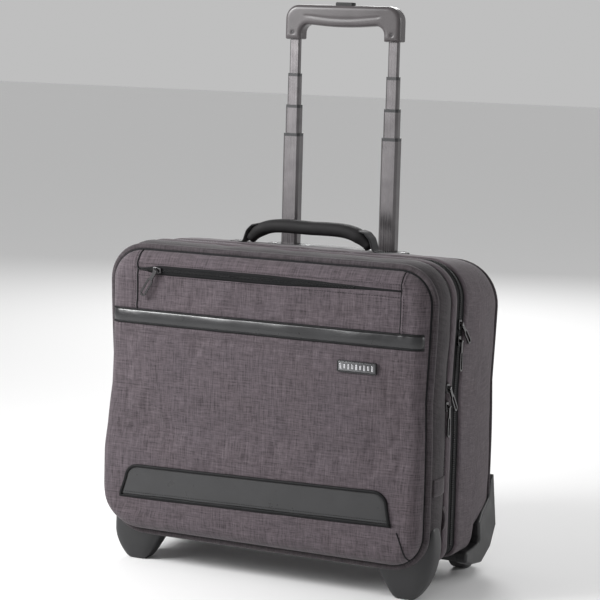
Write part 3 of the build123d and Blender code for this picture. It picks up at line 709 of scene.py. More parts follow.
def settle(obj, hold, pressure, cap, slack):
    """Cloth simulation run on a piece of fabric in place, then applied: hold(point) is how firmly a point is
    sewn down, slack how much larger the cloth is than its shape, and cap how far a point may move."""
    scene = bpy.context.scene
    start = [vertex.co.copy() for vertex in obj.data.vertices]
    group = obj.vertex_groups.new(name="sewn")
    for index, point in enumerate(start):
        group.add([index], hold(point), "REPLACE")
    cloth = obj.modifiers.new("cloth", "CLOTH")
    settings = cloth.settings
    settings.quality = 6
    settings.mass = 0.3
    settings.tension_stiffness = settings.compression_stiffness = 18
    settings.shear_stiffness = 8
    settings.bending_stiffness = 0.6
    settings.air_damping = 3
    settings.vertex_group_mass = "sewn"
    settings.shrink_min = -slack
    settings.use_pressure = True
    settings.uniform_pressure_force = pressure
    settings.effector_weights.gravity = 0
    cloth.collision_settings.use_collision = False
    cloth.point_cache.frame_start, cloth.point_cache.frame_end = 1, CLOTH_FRAMES
    for number in range(1, CLOTH_FRAMES + 1):
        scene.frame_set(number)
    graph = bpy.context.evaluated_depsgraph_get()
    settled = [vertex.co.copy() for vertex in obj.evaluated_get(graph).data.vertices]
    obj.modifiers.remove(cloth)
    obj.vertex_groups.remove(group)
    scene.frame_set(1)
    for vertex, before, after in zip(obj.data.vertices, start, settled):
        move = after - before
        if move.length > cap:
            move *= cap / move.length
        vertex.co = before + move
    obj.data.update()


# ---------- front panel ----------

def inside_distance(x, z):
    """How far a point of the front panel is inside its edge."""
    half, low, high, corner = outline(PIPING_Y, PANEL_OUT)
    qx = abs(x) - (half - corner)
    qz = abs(z - (low + high) / 2) - ((high - low) / 2 - corner)
    outside = hypot(max(qx, 0), max(qz, 0)) + min(max(qx, qz), 0) - corner
    return max(0.0, -outside)


def ridge(distance, height, width):
    """A raised line, or a sunk one if height is negative."""
    return height * bump(distance, width)


def dart_x(z):
    """The curved seam's x: upright at its foot, then leaning in towards the shield."""
    return DART_X - DART_LEAN * max(0.0, (z - DART_LOW - 0.004) / 0.035) ** 1.5


def shield_rise(x):
    return SHIELD_RISE * (x - SHIELD_LEFT[0]) / (SHIELD_RIGHT[0] - SHIELD_LEFT[0])


def front_seams(x, z):
    """Depth of the sewn channels, as negative, and height of the ridges beside them."""
    upper = smooth_step(z, SEAM_LOW - 0.004, SEAM_LOW + 0.004)
    value = upper * (ridge(x - LEFT_SEAM_X, -0.0013, 0.0016) + ridge(x - RIGHT_SEAM_X, 0.0011, 0.0022)
                     + ridge(x - RIGHT_SEAM_X + 0.004, -0.0009, 0.0020))
    if LEFT_SEAM_X < x < RIGHT_SEAM_X:
        value += ridge(z - POCKET_Z - 0.007, 0.0016, 0.004) + ridge(z - POCKET_Z, -0.0012, 0.0035)
        value += ridge(z - POCKET_Z + 0.008, 0.0009, 0.005)
    value += ridge(z - BAND_MIDDLE, -0.0008, 0.009)
    value += ridge(z - BAND_HIGH - 0.006, 0.0010, 0.005) + ridge(z - BAND_LOW + 0.006, 0.0010, 0.005)
    on_dart = smooth_step(z, 0.046, 0.056) * (1 - smooth_step(z, 0.086, 0.092))
    value += ridge(x - dart_x(z), -0.0016, 0.0017) * on_dart
    under_shield = (1 - smooth_step(x, 0.195, 0.206)) * smooth_step(x, -0.206, -0.198)
    value += ridge(z - (SHIELD_LOW - 0.002 + shield_rise(x)), -0.0022, 0.0018) * under_shield
    return value


def front_depth(x, z):
    """Front panel's y at (x, z)."""
    distance = inside_distance(x, z)
    t = min(distance / EDGE_ROLL, 1.0)
    roll = sqrt(max(0.0, 1 - (1 - t) ** 2))
    low = 1 - smooth_step(z, FOLD_LOW, FOLD_HIGH)
    bulge = between(FLAP_BULGE, POUCH_BULGE, low)
    crown = 0.0012 * (1 - (x / FRONT_HALF) ** 2) * smooth_step(distance, 0.01, 0.09)
    folds = 0.0007 * ripple(x, 0, z, 0.075, 3) + 0.0004 * ripple(x, 0, z, 0.03, 8)
    slack = 0.0006 * low * ripple(x * 0.45 + z, 0, z - 0.3 * x, 0.03, 11)
    soft = (crown + folds + slack) * smooth_step(distance, 0.004, 0.05)
    return PIPING_Y - bulge * roll - soft - front_seams(x, z) * min(1.0, distance / 0.012)


def overhang(x, z):
    """The filled pouch hangs out sideways past its piping, more so low down and on its left."""
    share = sin(pi * min(1.0, inside_distance(x, z) / (1.5 * EDGE_ROLL)) ** 0.63)
    low = (1 - smooth_step(z, 0.13, 0.36)) * between(0.35, 1.0, smooth_step(z, 0.04, 0.10))
    reach = 0.0010 + (0.0030 if x > 0 else 0.0150) * low
    return bowed(x, z) + copysign(reach * share * smooth_step(abs(x), 0.10, 0.20), x)


def padded_wall(name, y, out, columns, rows, arc, even, place):
    """Padded wall that fills the case's outline at depth y, with its edge on the outer rows and columns.

    arc is how many rows each rounded corner has, and even how evenly a row's points are spread, against
    gathered at its ends. place(x, z) gives their positions.
    """
    half, low, high, corner = outline(y, out)
    turn = [pi / 2 * i / arc for i in range(arc + 1)]
    upright = rows - 2 * arc
    heights = [low + corner - corner * cos(a) for a in turn[:-1]]
    heights += [between(low + corner, high - corner, i / (upright - 1)) for i in range(upright)]
    heights += [high - corner + corner * sin(a) for a in turn[1:]]
    flat = []
    for z in heights:
        drop = max(0.0, abs(z - (low + high) / 2) - ((high - low) / 2 - corner))
        width = half - corner + sqrt(max(0.0, corner ** 2 - drop ** 2))
        for c in range(columns):
            s = 2 * c / (columns - 1) - 1
            flat.append((width * (even * s + (1 - even) * sin(pi / 2 * s)), z))
    points = [place(x, z) for x, z in flat]
    return face_outwards(mesh_object(name, points, grid_faces(rows, columns), FABRIC, flat, LINING))


def sewn_on_front(point):
    """The front panel is sewn down at its edge, along the band and the shield, and round the pocket zip."""
    x, _, z = point
    edge = 1 - smooth_step(inside_distance(x, z), 0.012, 0.030)
    band = bump(z - BAND_MIDDLE, 0.012)
    pocket = min(1.0, 1.6 * bump(z - POCKET_Z, 0.016))
    shield = smooth_step(z, 0.070, 0.085) * (1 - smooth_step(z, 0.138, 0.150))
    upper = bump(abs(x) - 0.179, 0.008) * smooth_step(z, 0.315, 0.33)
    puller = bump(x + 0.150, 0.024) * smooth_step(z, 0.325, 0.340)
    return min(1.0, max(edge, band, pocket, shield, upper, puller))


def surface_finder(obj):
    """Function that gives the front surface's point and normal at (x, z)."""
    tree = BVHTree.FromPolygons([v.co for v in obj.data.vertices], [p.vertices for p in obj.data.polygons])

    def find(x, z, lift=0.0):
        point, normal, _, _ = tree.ray_cast(Vector((x, -0.3, z)), BACKWARDS)
        if point is None:
            return Vector((x, front_depth(x, z) - lift, z)), -BACKWARDS
        if normal.y > 0:
            normal = -normal
        return point + normal * lift, normal
    return find


def patch(name, left, right, low, high, material, find, lift, columns, rows, crown=0.0, roundness=0.0,
          rise=lambda x: 0.0):
    """Leather laid on the front: left and right give its sides' x at the bottom and top, crown its puff,
    roundness the radius of its top corners, and rise how much higher it is at an x."""
    def place(u, v):
        z = between(low, high, v)
        drop = max(0.0, z - (high - roundness)) if roundness else 0.0
        cut = roundness - sqrt(max(0.0, roundness ** 2 - drop ** 2))
        x = between(between(*left, v) + cut, between(*right, v) - cut, u)
        c, r = u * (columns - 1), v * (rows - 1)
        near = min(1.0, c / 1.5, (columns - 1 - c) / 1.5, r, rows - 1 - r)
        puff = crown * (1 - (2 * v - 1) ** 2) * (0.75 + 0.5 * ripple(x, 0, 0, 0.05, 17))
        return find(x, z + rise(x), lift * (0.25 + 0.75 * near) + puff)[0], (x, z)
    return thicken(face_outwards(sheet(name, rows, columns, place, material)), LEATHER_THICK)


def follow(find, flat, lift):
    """Path on the front surface through (x, z) points, with its normals."""
    return zip(*[find(x, z, lift) for x, z in flat])


def front_line(find, start, end, lift, count):
    """Straight path on the front surface, with its normals."""
    return follow(find, straight(start, end, count), lift)


def add_seam(name, path, radius, body):
    """A seam's line of thread on the fabric."""
    add(tube(name, path, radius, THREAD, 6), "fabric", body)


def add_cord(name, path, radius, body):
    """Leather-covered cord along the edge of a leather piece."""
    add(tube(name, path, radius, EDGE_LEATHER, 8), "leather", body)


def add_stitches(name, line, slot, body):
    add(stitches(name, *line), slot, body)


def build_front():
    """Flap and pouch as one sheet of padded fabric, with its piping and gusset."""
    panel = padded_wall("front_panel", PIPING_Y, PANEL_OUT, 170, 150, 14, 0.55,
                        lambda x, z: Vector((overhang(x, z), front_depth(x, z), z)))
    settle(panel, sewn_on_front, pressure=2.5, cap=0.0022, slack=0.010)
    find = surface_finder(panel)
    thicken(panel, FRONT_PADDING, inner_slot=True)
    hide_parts("flap_panel", "lower_pouch")

    rows = ring(PIPING_Y, PIPING_OUT)
    welt_path = [p + Vector((0, -0.001, 0)) for p, _ in rows]
    welt = tube("front_piping", welt_path, PIPING_R, PIPING_FABRIC, 12, True)
    # A thick black thread tube sunk in the groove between the panel and its piping: partly the seam, partly
    # painted shade that darkens the groove.
    groove_shade_path = [p + Vector((0, -0.0050, 0)) - n * 0.0036 for p, n in rows]
    seam = tube("front_piping_seam_painted_shade", groove_shade_path, 0.0014, THREAD, 6, True)
    stations = [(PIPING_Y, -0.003), (-0.091, -0.0012), (-0.084, 0.0012), (-0.072, 0.0026),
                (-0.061, 0.0020), (-0.0565, 0.0006), (-0.0550, -0.0018)]
    # The gusset takes the darker fabric, which is painted shade.
    gusset = ring_shell("front_gusset", spaced(stations, 0.003), SHADED_GUSSET_FABRIC, 0.0013, 2, LINING)
    thicken(gusset, FRONT_PADDING, inner_slot=True)
    for piece in (panel, welt, seam, gusset):
        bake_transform(piece)
    return find


def run_on_shield(find, name, corners, lift, radius):
    """Leather-covered cord along (x, z) corners given before the shield's rise."""
    raised = [Vector((x, 0, z + shield_rise(x))) for x, z in corners]
    path, _ = follow(find, [(p.x, p.z) for p in fine_path(raised, 0.004)], lift)
    add_cord(name, path, radius, "front_section")


def build_band(find):
    band = patch("leather_strip", (-BAND_REACH, -BAND_REACH), (BAND_REACH, BAND_REACH), BAND_LOW, BAND_HIGH,
                 BAND_LEATHER, find, 0.0011, 130, 13, crown=0.0026)
    add(band, "leather", "front_flap", "leather_band")
    for name, z in (("upper", BAND_HIGH), ("lower", BAND_LOW)):
        path, _ = front_line(find, (-BAND_REACH, z), (BAND_REACH, z), 0.0005, 90)
        add_cord(f"leather_strip_{name}_edge", path, BAND_CORD_R, "front_flap")


def build_shield(find):
    shield = patch("leather_shield", SHIELD_LEFT, SHIELD_RIGHT, SHIELD_LOW, SHIELD_HIGH, LEATHER, find,
                   0.0014, 120, 22, roundness=SHIELD_ROUND, rise=shield_rise)
    add(shield, "leather", "front_section", "leather_panel")
    turn = [pi / 2 * i / 8 for i in range(9)]
    corner = [(SHIELD_ROUND * (1 - cos(a)), SHIELD_HIGH + SHIELD_ROUND * (sin(a) - 1))
              for a in turn]
    rim = [(SHIELD_LEFT[0], SHIELD_LOW)] + [(SHIELD_LEFT[1] + inset, z) for inset, z in corner]
    rim += [(SHIELD_RIGHT[1] - inset, z) for inset, z in reversed(corner)] + [(SHIELD_RIGHT[0], SHIELD_LOW)]
    run_on_shield(find, "leather_shield_piping", rim, 0.0010, SHIELD_PIPING_R)
    # The lip: a black cord along the shield's lower edge, partly the leather's edge and partly painted
    # shadow that the edge casts.
    lip_z = SHIELD_LOW - 0.0018
    lip = [(SHIELD_LEFT[0] - 0.002, lip_z), (SHIELD_RIGHT[0] + 0.002, lip_z)]
    run_on_shield(find, "leather_shield_lip_painted_shadow", lip, -0.0002, SHIELD_SHADOW_LIP_R)
    margin = 0.004
    start = (SHIELD_LEFT[0] + margin, SHIELD_LOW + margin)
    end = (SHIELD_RIGHT[0] - margin, SHIELD_LOW + margin + SHIELD_RISE)
    line = front_line(find, start, end, 0.0017, 90)
    add_stitches("leather_shield_stitches", line, "leather", "front_section")


def build_front_seams(find):
    flat = [(DART_X - DART_LEAN * max(0.0, t * 1.12 - 0.12) ** 1.5, DART_LOW + DART_TALL * t)
            for t in (i / 30 for i in range(31))]
    path, _ = follow(find, flat, 0.0002)
    add_seam("corner_dart_seam", path, SEAM_R, "front_section")
    low = SEAM_LOW + 0.004
    for name, x, radius in (("left", LEFT_SEAM_X, 0.0010), ("right", RIGHT_SEAM_X, 0.0006)):
        path, _ = front_line(find, (x, low), (x, SEAM_HIGH), 0.0003, 40)
        add_seam(f"pocket_seam_{name}", path, radius, "front_flap")
        line = front_line(find, (x * 1.02, low), (x * 1.02, SEAM_HIGH - 0.002), 0.0003, 40)
        add_stitches(f"pocket_seam_stitches_{name}", line, "fabric", "front_flap")


def pocket_opening(x):
    """Half the visible height of the pocket's zip strip: it narrows to the right."""
    t = (x - LEFT_SEAM_X) / (RIGHT_SEAM_X - LEFT_SEAM_X)
    return 0.0012 + 0.0048 * smooth_step(t, 0.0, 0.10) * (1 - smooth_step(t, 0.45, 1.0))


def build_pocket_zip(find):
    def place(u, v):
        x = between(LEFT_SEAM_X, RIGHT_SEAM_X, v)
        k = 2 * u - 1
        z = POCKET_Z + k * pocket_opening(x)
        return find(x, z, 0.0010 * (1 - abs(k) ** 3))[0], (z, x)
    tape = thicken(face_outwards(sheet("pocket_zip_strip", 121, 5, place, ZIP_TAPE)), TAPE_THICK)
    add(tape, "zip_chain", "front_flap", "pocket_zip_tape")
    chain_end = 0.120
    line = front_line(find, (LEFT_SEAM_X + 0.002, POCKET_Z), (chain_end, POCKET_Z), 0.0013, 90)
    add(coil("pocket_zip_coil", *line, 0.0046), "zip_chain", "front_flap")
    for name, z in (("upper", POCKET_Z + 0.0076), ("lower", POCKET_Z - 0.0076)):
        line = front_line(find, (LEFT_SEAM_X + 0.003, z), (RIGHT_SEAM_X - 0.003, z), 0.0002, 90)
        add_stitches(f"pocket_zip_stitches_{name}", line, "fabric", "front_flap")


def plate(name, low, high, y, radius, depth, material, rim=0.0):
    """Thin plate facing forward from y, between (x, z) low and high, with rounded corners and a softened
    front edge; a rim stands round it if it has a width."""
    layers = [(0.0, 0.0), (depth - 0.0004, 0.0), (depth - 0.0001, 0.0002), (depth, 0.0005)]
    if rim:
        layers += [(depth, rim), (depth - 0.0007, rim + 0.0002)]
    steps = 6
    corners = ((high[0], low[1], 1, -1), (high[0], high[1], 1, 1),
               (low[0], high[1], -1, 1), (low[0], low[1], -1, -1))
    points = []
    for out, inset in layers:
        corner = max(radius - inset, 0.0002)
        for quarter, (x, z, side, up) in enumerate(corners):
            for i in range(steps + 1):
                a = pi / 2 * (quarter - 1 + i / steps)
                points.append((x - side * (inset + corner) + corner * cos(a), y - out,
                               z - up * (inset + corner) + corner * sin(a)))
    obj = skin(name, points, 4 * (steps + 1), material, None)
    shade_by_angle(obj, 40)
    return obj


def build_badge(find):
    """Framed plate with a row of plain bars."""
    low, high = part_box("badge")
    x, z = (low.x + high.x) / 2, (low.z + high.z) / 2
    y = find(x, z)[0].y + 0.0006
    rim = Vector((0.0016, 0, 0.0016))
    spans = [((a.x, a.z), (b.x, b.z)) for a, b in ((low, high), (low + rim, high - rim))]
    pieces = [plate("badge_frame", *spans[0], y, 0.0018, 0.0026, BADGE_FRAME, rim=0.0013),
              plate("badge_plate", *spans[1], y, 0.0008, 0.0023, BADGE_METAL)]
    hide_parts("badge")
    bars, margin, half_wide = 9, 0.0052, 0.0013
    bar_y = y - 0.0022
    for k in range(bars):
        x = between(low.x + margin, high.x - margin, k / (bars - 1))
        tall = 0.0026 if k % 2 else 0.0034
        pieces.append(plate(f"badge_bar_{k}", (x - half_wide, z - tall), (x + half_wide, z + tall),
                            bar_y, 0.0005, 0.0007, BADGE_BAR_METAL))
    for piece in pieces:
        add(piece, "badge_metal", "front_flap")


# ---------- side walls, zips and the rear section ----------

def in_wheel_well(point):
    return abs(point.x) > 0.171 and point.y > 0.055 and point.z < 0.066


def under_bezel(point):
    return abs(point.x) < 0.094 and 0.089 < point.y < 0.111 and point.z > 0.3


def back_depth(x, z):
    """Back wall's y: three padded fields between sewn channels."""
    across = bump(z - BACK_SEAM_HIGH, 0.0020) + bump(z - BACK_SEAM_LOW, 0.0020)
    seam = 0.0016 * (bump(abs(x) - BACK_SEAM_X, 0.0020) + across * (abs(x) < BACK_SEAM_X))
    edge = max(0.0, min(1.0, (BACK_HALF - abs(x)) / 0.03, (z - BACK_LOW) / 0.03))
    puff = 0.00096 * edge * min(1.0, abs(abs(x) - BACK_SEAM_X) / 0.02)
    return BACK_Y - 0.0015 - seam + puff + 0.0006 * ripple(x, 0, z, 0.08, 21)


def add_back_seams():
    """Seams between the back's padded fields, each with stitches beside it."""
    x, low, high = BACK_SEAM_X, BACK_SEAM_LOW, BACK_SEAM_HIGH
    beside, above = Vector((0.0042, 0.0002, 0)), Vector((0, 0.0002, 0.0042))
    foot_z, head_z = 0.060, 0.372
    for name, start, end, shift in (("left", (-x, foot_z), (-x, head_z), beside),
                                    ("right", (x, foot_z), (x, head_z), beside),
                                    ("top", (-x, high), (x, high), above),
                                    ("base", (-x, low), (x, low), above)):
        line = [Vector((px, back_depth(px, pz) + 0.0030, pz)) for px, pz in straight(start, end, 80)]
        add_seam(f"back_seam_{name}", line, SEAM_R, "case")
        row = ([p + shift for p in line], [BACKWARDS] * len(line))
        add_stitches(f"back_stitches_{name}", row, "fabric", "case")


def build_rear():
    stations = [(-0.0066, -0.0032), (-0.0062, -0.0008), (-0.0038, 0.0012), (0.012, 0.0026), (0.040, 0.0036),
                (0.070, 0.0034), (0.095, 0.0018), (0.104, 0.0002), (REAR_PIPING_Y, -0.0012),
                (0.1085, 0.0002), (0.113, -0.0012), (0.1165, -0.0042), (BACK_Y - 0.0003, -0.0080)]
    shell = ring_shell("rear_fabric", spaced(stations, 0.0032), FABRIC, 0.0009, 4, LINING)
    back = padded_wall("back_sheet", BACK_Y, -0.008, 110, 90, 12, 0.6,
                       lambda x, z: Vector((bowed(x, z), back_depth(x, z), z)))
    drop_faces(shell, in_wheel_well)
    drop_faces(back, in_wheel_well)
    drop_faces(shell, under_bezel)
    for piece in (shell, back):
        thicken(piece, REAR_PADDING, inner_slot=True)
        add(piece, "fabric", "case")
    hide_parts("rear_shell")
    add_back_seams()
    path = [p for p, _ in ring(REAR_PIPING_Y, 0.0004)]
    welt = tube("rear_piping", path, 0.0022, PIPING_FABRIC, 10, True)
    drop_faces(welt, in_wheel_well)
    add(welt, "fabric", "case")


def build_front_section():
    stations = [(-0.0512, -0.0018), (-0.0500, 0.0006), (-0.0455, 0.0020), (-0.0405, 0.0019),
                (-0.0362, 0.0008), (-0.0340, -0.0006), (-0.0336, -0.0032)]
    wall = ring_shell("front_section_wall", spaced(stations, 0.0026), FABRIC, 0.0004, 6, LINING)
    add(thicken(wall, FRONT_PADDING, inner_slot=True), "fabric", "front_section", "front_shell")


def zip_chain(name, y, out, end_z, width, pitch):
    """Coil over the top of the case, between its ends at one height on both sides."""
    path, normals = zip(*[(p, n) for p, n in ring(y, out) if p.z > end_z])
    return coil(name, path, normals, width, pitch)


def build_zips():
    binding = [(-0.0556, -0.0016), (-0.0545, -0.0022), (-0.0530, -0.0024), (-0.0516, -0.0022),
               (-0.0508, -0.0016)]
    tape = thicken(ring_shell("flap_zip_binding", binding, ZIP_TAPE), TAPE_THICK)
    add(tape, "zip_chain", "front_section")
    chain = zip_chain("flap_zip_coil", FLAP_ZIP_Y, -0.0008, FLAP_ZIP_END_Z, 0.0042, 0.0019)
    add(chain, "zip_chain", "front_section", "front_zip_tape")

    front = [(-0.0343, -0.0012), (-0.0330, -0.0026), (-0.0285, -0.0020), (-0.0235, -0.0019),
             (-0.0203, -0.0024)]
    rear = [(-0.0197, -0.0024), (-0.0165, -0.0019), (-0.0120, -0.0020), (-0.0072, -0.0026),
            (-0.0058, -0.0010)]
    tapes = [ring_shell(f"main_zip_tape_{name}", spaced(stations, 0.002), ZIP_TAPE, 0.0003, 9)
             for name, stations in (("front", front), ("rear", rear))]
    for tape, body in zip(tapes, ("front_section", "case")):
        add(thicken(tape, 0.0010), "zip_chain", body)
    chain = zip_chain("main_zip_coil", MAIN_ZIP_Y, -0.0010, MAIN_ZIP_END_Z, 0.0056, 0.0024)
    add(chain, "zip_chain", "case", "main_zip_tape")


# ---------- inside ----------

def padded_board(name, node, body, thickness, quilt=0.0):
    """Padded panel in the place of a CAD panel: two crowned faces, with sewn lines every quilt."""
    low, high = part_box(node)
    half = (high - low) / 2
    middle = (low + high) / 2
    columns, rows = 60, 50
    points, uvs = [], []
    for side in (-1, 1):
        for r in range(rows):
            for c in range(columns):
                u, v = 2 * c / (columns - 1) - 1, 2 * r / (rows - 1) - 1
                squircle = 1 - 0.055 * (u * v) ** 8
                x, z = u * half.x * squircle, v * half.z * squircle
                crown = sqrt(min(1.0, min(1 - abs(u), 1 - abs(v)) / 0.05))
                if quilt:
                    sewn = bump(remainder(x, quilt), 0.002) + bump(remainder(z, quilt), 0.002)
                    crown *= 1 - 0.55 * min(1.0, sewn)
                points.append(Vector((x, middle.y + side * thickness / 2 * crown, middle.z + z)))
                uvs.append((x, z))
    front = grid_faces(rows, columns)
    back = [tuple(rows * columns + k for k in reversed(face)) for face in front]
    obj = mesh_object(name, points, front + back, LINING, uvs)
    with editing(obj.data) as data:
        bmesh.ops.remove_doubles(data, verts=data.verts, dist=1e-6)
    add(closed_outwards(obj), "lining", body, node, fill=0.6)


# Sections of a moulded front foot, in millimetres: z, and the ranges of x (on the right) and y.
FOOT_SECTIONS = [
    (0.0, (176, 198), (-89, -69)), (0.6, (173.5, 200.5), (-91, -67)), (4, (169.5, 205), (-92.5, -65)),
    (14, (163, 212.5), (-95, -61)), (24, (157, 217.5), (-96.5, -59)), (34, (150, 221.5), (-97.5, -58)),
    (44, (146, 224), (-97.5, -57)), (56, (160, 225.8), (-96, -56.5)), (68, (190, 226), (-94, -58)),
    (80, (205, 225), (-91, -62)), (88, (212, 223.5), (-88, -67)), (92, (216, 222), (-84, -72)),
]
FOOT_LEFT_REACH = 220


def squared(value, power):
    """A cosine or sine that makes a squarer ring than a circle, the more the smaller the power."""
    return copysign(abs(value) ** power, value)


def foot(label, side):
    """Moulded foot: a tapered horn under the lower front corner with a tongue up the side wall."""
    count = 28
    points, uvs = [], []
    for z, (x0, x1), (y0, y1) in FOOT_SECTIONS:
        x1 = min(x1, FOOT_LEFT_REACH) if side < 0 else x1
        for k in range(count):
            a = 2 * pi * k / count
            x = (x0 + x1) / 2 + (x1 - x0) / 2 * squared(cos(a), 0.55)
            y = (y0 + y1) / 2 + (y1 - y0) / 2 * squared(sin(a), 0.55)
            points.append(Vector((side * x * MM, y * MM, z * MM)))
            uvs.append((a * 0.02, z * MM))
    obj = subdivide(skin(f"foot_{label}", points, count, HARD_PLASTIC, uvs), 2)
    add(obj, "housing_plastic", "front_section", f"front_foot_{label}")


def housing_cover(label, side):
    """Wheel housing with its guard thinned towards its tip, made from a copy of the moulded part."""
    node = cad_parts[f"wheel_housing_{label}"]
    obj = linked(f"housing_cover_{label}", node.data.copy())
    obj.matrix_world = node.matrix_world.copy()
    to_world, to_local = obj.matrix_world, obj.matrix_world.inverted()
    for vertex in obj.data.vertices:
        point = to_world @ vertex.co
        past = max(0.0, abs(point.x) - GUARD_BASE_X)
        point.x -= side * past * GUARD_THINNING * smooth_step(point.z, GUARD_LOW, GUARD_HIGH)
        vertex.co = to_local @ point
    paint(obj.data, HARD_PLASTIC)
    shade_by_angle(obj, 38)
    add(obj, "housing_plastic", "case", f"wheel_housing_{label}")


def grip_cover():
    """The grip's two mouldings as one sculpted skin: crowned, with a belly under the bar and a crease."""
    halves = ("grip_front", "grip_back")
    obj = linked("grip_cover", bpy.data.meshes.new("grip_cover"))
    with editing(obj.data) as data:
        for name in halves:
            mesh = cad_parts[name].data.copy()
            mesh.transform(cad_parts[name].matrix_world)
            data.from_mesh(mesh)
    remesh = obj.modifiers.new("remesh", "REMESH")
    remesh.mode = "VOXEL"
    remesh.voxel_size = 0.0011
    relax = obj.modifiers.new("relax", "SMOOTH")
    relax.factor, relax.iterations = 0.5, 4
    apply_modifiers(obj)
    belly, belly_reach, crown_reach = 0.0030, 0.056, 0.09
    for vertex in obj.data.vertices:
        x, y, z = vertex.co
        middle = max(0.0, 1 - (x / belly_reach) ** 2)
        above = smooth_step(z, GRIP_UNDER + 0.002, GRIP_UNDER + 0.011)
        vertex.co.z -= belly * middle ** 1.5 * (1 - above)
        vertex.co.y += (y - TUBE_Y) * 0.10 * max(0.0, 1 - (x / crown_reach) ** 2)
        if abs(y - TUBE_Y) > 0.009:
            crease = ridge(z - GRIP_UNDER - 0.0075 + 0.0020 * middle, 0.0006, 0.0011)
            vertex.co.y -= copysign(crease * smooth_step(middle, 0.0, 0.25), y - TUBE_Y)
    paint(obj.data, GRIP_PLASTIC)
    for polygon in obj.data.polygons:
        polygon.use_smooth = True
        polygon.material_index = 0
    add(obj, "grip_plastic", "stage_4", *halves)


def build_side_details():
    """Fabric tab that ends the flap's zip, and a small webbing loop under it, on both sides."""
    tab_y, tab_z = (-0.0885, -0.0550), (0.130, 0.151)
    loop = [(0.0, -0.0555, 0.1125), (0.002, -0.0535, 0.104), (0.0025, -0.0525, 0.096),
            (0.001, -0.0515, 0.087), (-0.001, -0.0505, 0.083)]
    for label, side in SIDES:
        def place(u, v):
            y, z = between(*tab_y, u), between(*tab_z, v)
            rim = min(1.0, 5 * u, 5 * (1 - u), 4 * v, 4 * (1 - v))
            x = abs(bowed(FRONT_HALF, z)) + 0.0018 + 0.0018 * sin(pi * u) + 0.0008 * rim
            return Vector((side * x, y, z)), (y, z)
        tab = thicken(face_outwards(sheet(f"flap_zip_tab_{label}", 9, 14, place, PIPING_FABRIC)), TAB_THICK)
        add(tab, "fabric", "front_section")
        path = [Vector((side * (FRONT_HALF + 0.0035 + out), y, z)) for out, y, z in loop]
        path = fine_path(path, 0.002)
        pull = strap(f"side_loop_{label}", path, 0.0065, 0.0014, (0, 1, 0.1), PIPING_FABRIC)
        add(pull, "webbing", "front_section")


def build_inside():
    """Padded laptop divider with its closing strap, and the organiser with its two pockets."""
    padded_board("laptop_divider_pad", "laptop_divider", "case", 0.008, quilt=0.058)
    padded_board("organiser_sheet", "organiser_panel", "front_section", 0.0034)
    low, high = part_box("laptop_divider")
    path = [Vector((0, low.y - 0.004 - 0.002 * sin(pi * t / 12), high.z - 0.07 + 0.078 * t / 12))
            for t in range(13)]
    add(strap("laptop_strap", path, 0.038, 0.0018, (1, 0, 0), WEBBING), "webbing", "case")
    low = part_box("organiser_panel")[0]
    for name, middle, width, top in (("left", -0.115, 0.15, 0.20), ("right", 0.075, 0.20, 0.25)):
        def place(u, v):
            across = 2 * u - 1
            x = middle + across * width / 2
            puff = 0.006 * (1 - across ** 2) * between(0.35, 1.0, v)
            z = between(low.z + 0.03, top, v)
            return Vector((x, low.y - 0.0012 - puff, z)), (x, z)
        pocket = sheet(f"organiser_pocket_{name}", 20, 24, place, LINING)
        add(thicken(pocket, TAB_THICK), "lining", "front_section")


# ---------- carry handle ----------

def handle_path():
    """Middle line of the padded part, from its left end to its right end, with its share of the way."""
    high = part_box("carry_handle_pad")[1]
    reach, top = high.x - 0.008, high.z - 0.0085
    shares = [i / 30 - 1 for i in range(61)]
    return [(Vector((s * reach, HANDLE_Y, top - 0.0205 * abs(s) ** 5 - 0.0015 * (1 - abs(s)))), s)
            for s in shares]


def handle_pad(path):
    """Padded grip of the carry handle, slimmer at its ends."""
    sides = 20
    points, uvs = [], []
    along = 0.0
    for i, (point, s) in enumerate(path):
        tangent = (path[min(i + 1, len(path) - 1)][0] - path[max(i - 1, 0)][0]).normalized()
        lift = -BACKWARDS.cross(tangent)
        along += (point - path[i - 1][0]).length if i else 0.0
        full = 1 - smooth_step(abs(s), 0.80, 1.0)
        half_width = 0.0088 + 0.0042 * full
        half_height = 0.0062 + 0.0024 * full
        for k in range(sides):
            a = 2 * pi * k / sides
            across = squared(cos(a), 0.7) * half_width
            points.append(point + BACKWARDS * across + lift * (squared(sin(a), 0.8) * half_height))
            uvs.append((along, a * 0.012))
    pad = skin("carry_handle_cover", points, sides, HANDLE_LEATHER, uvs)
    add(pad, "handle_leather", "carry_handle", "carry_handle_pad", fill=0.8)


# Middle line of a handle's webbing end, as (x on the right, z): from inside the pad down to the case's top.
HANDLE_END = [(0.070, 0.4335), (0.079, 0.4315), (0.086, 0.4245), (0.0885, 0.4180), (0.090, 0.4125),
              (0.0925, 0.4092), (0.100, 0.4074), (0.112, 0.4062)]
# Stitched box that holds a webbing end down, as (x on the right, y from the handle's).
HANDLE_BOX = [(0.096, -0.008), (0.110, -0.008), (0.110, 0.008), (0.096, 0.008), (0.096, -0.008),
              (0.110, 0.008)]
HANDLE_BOX_Z = 0.4092


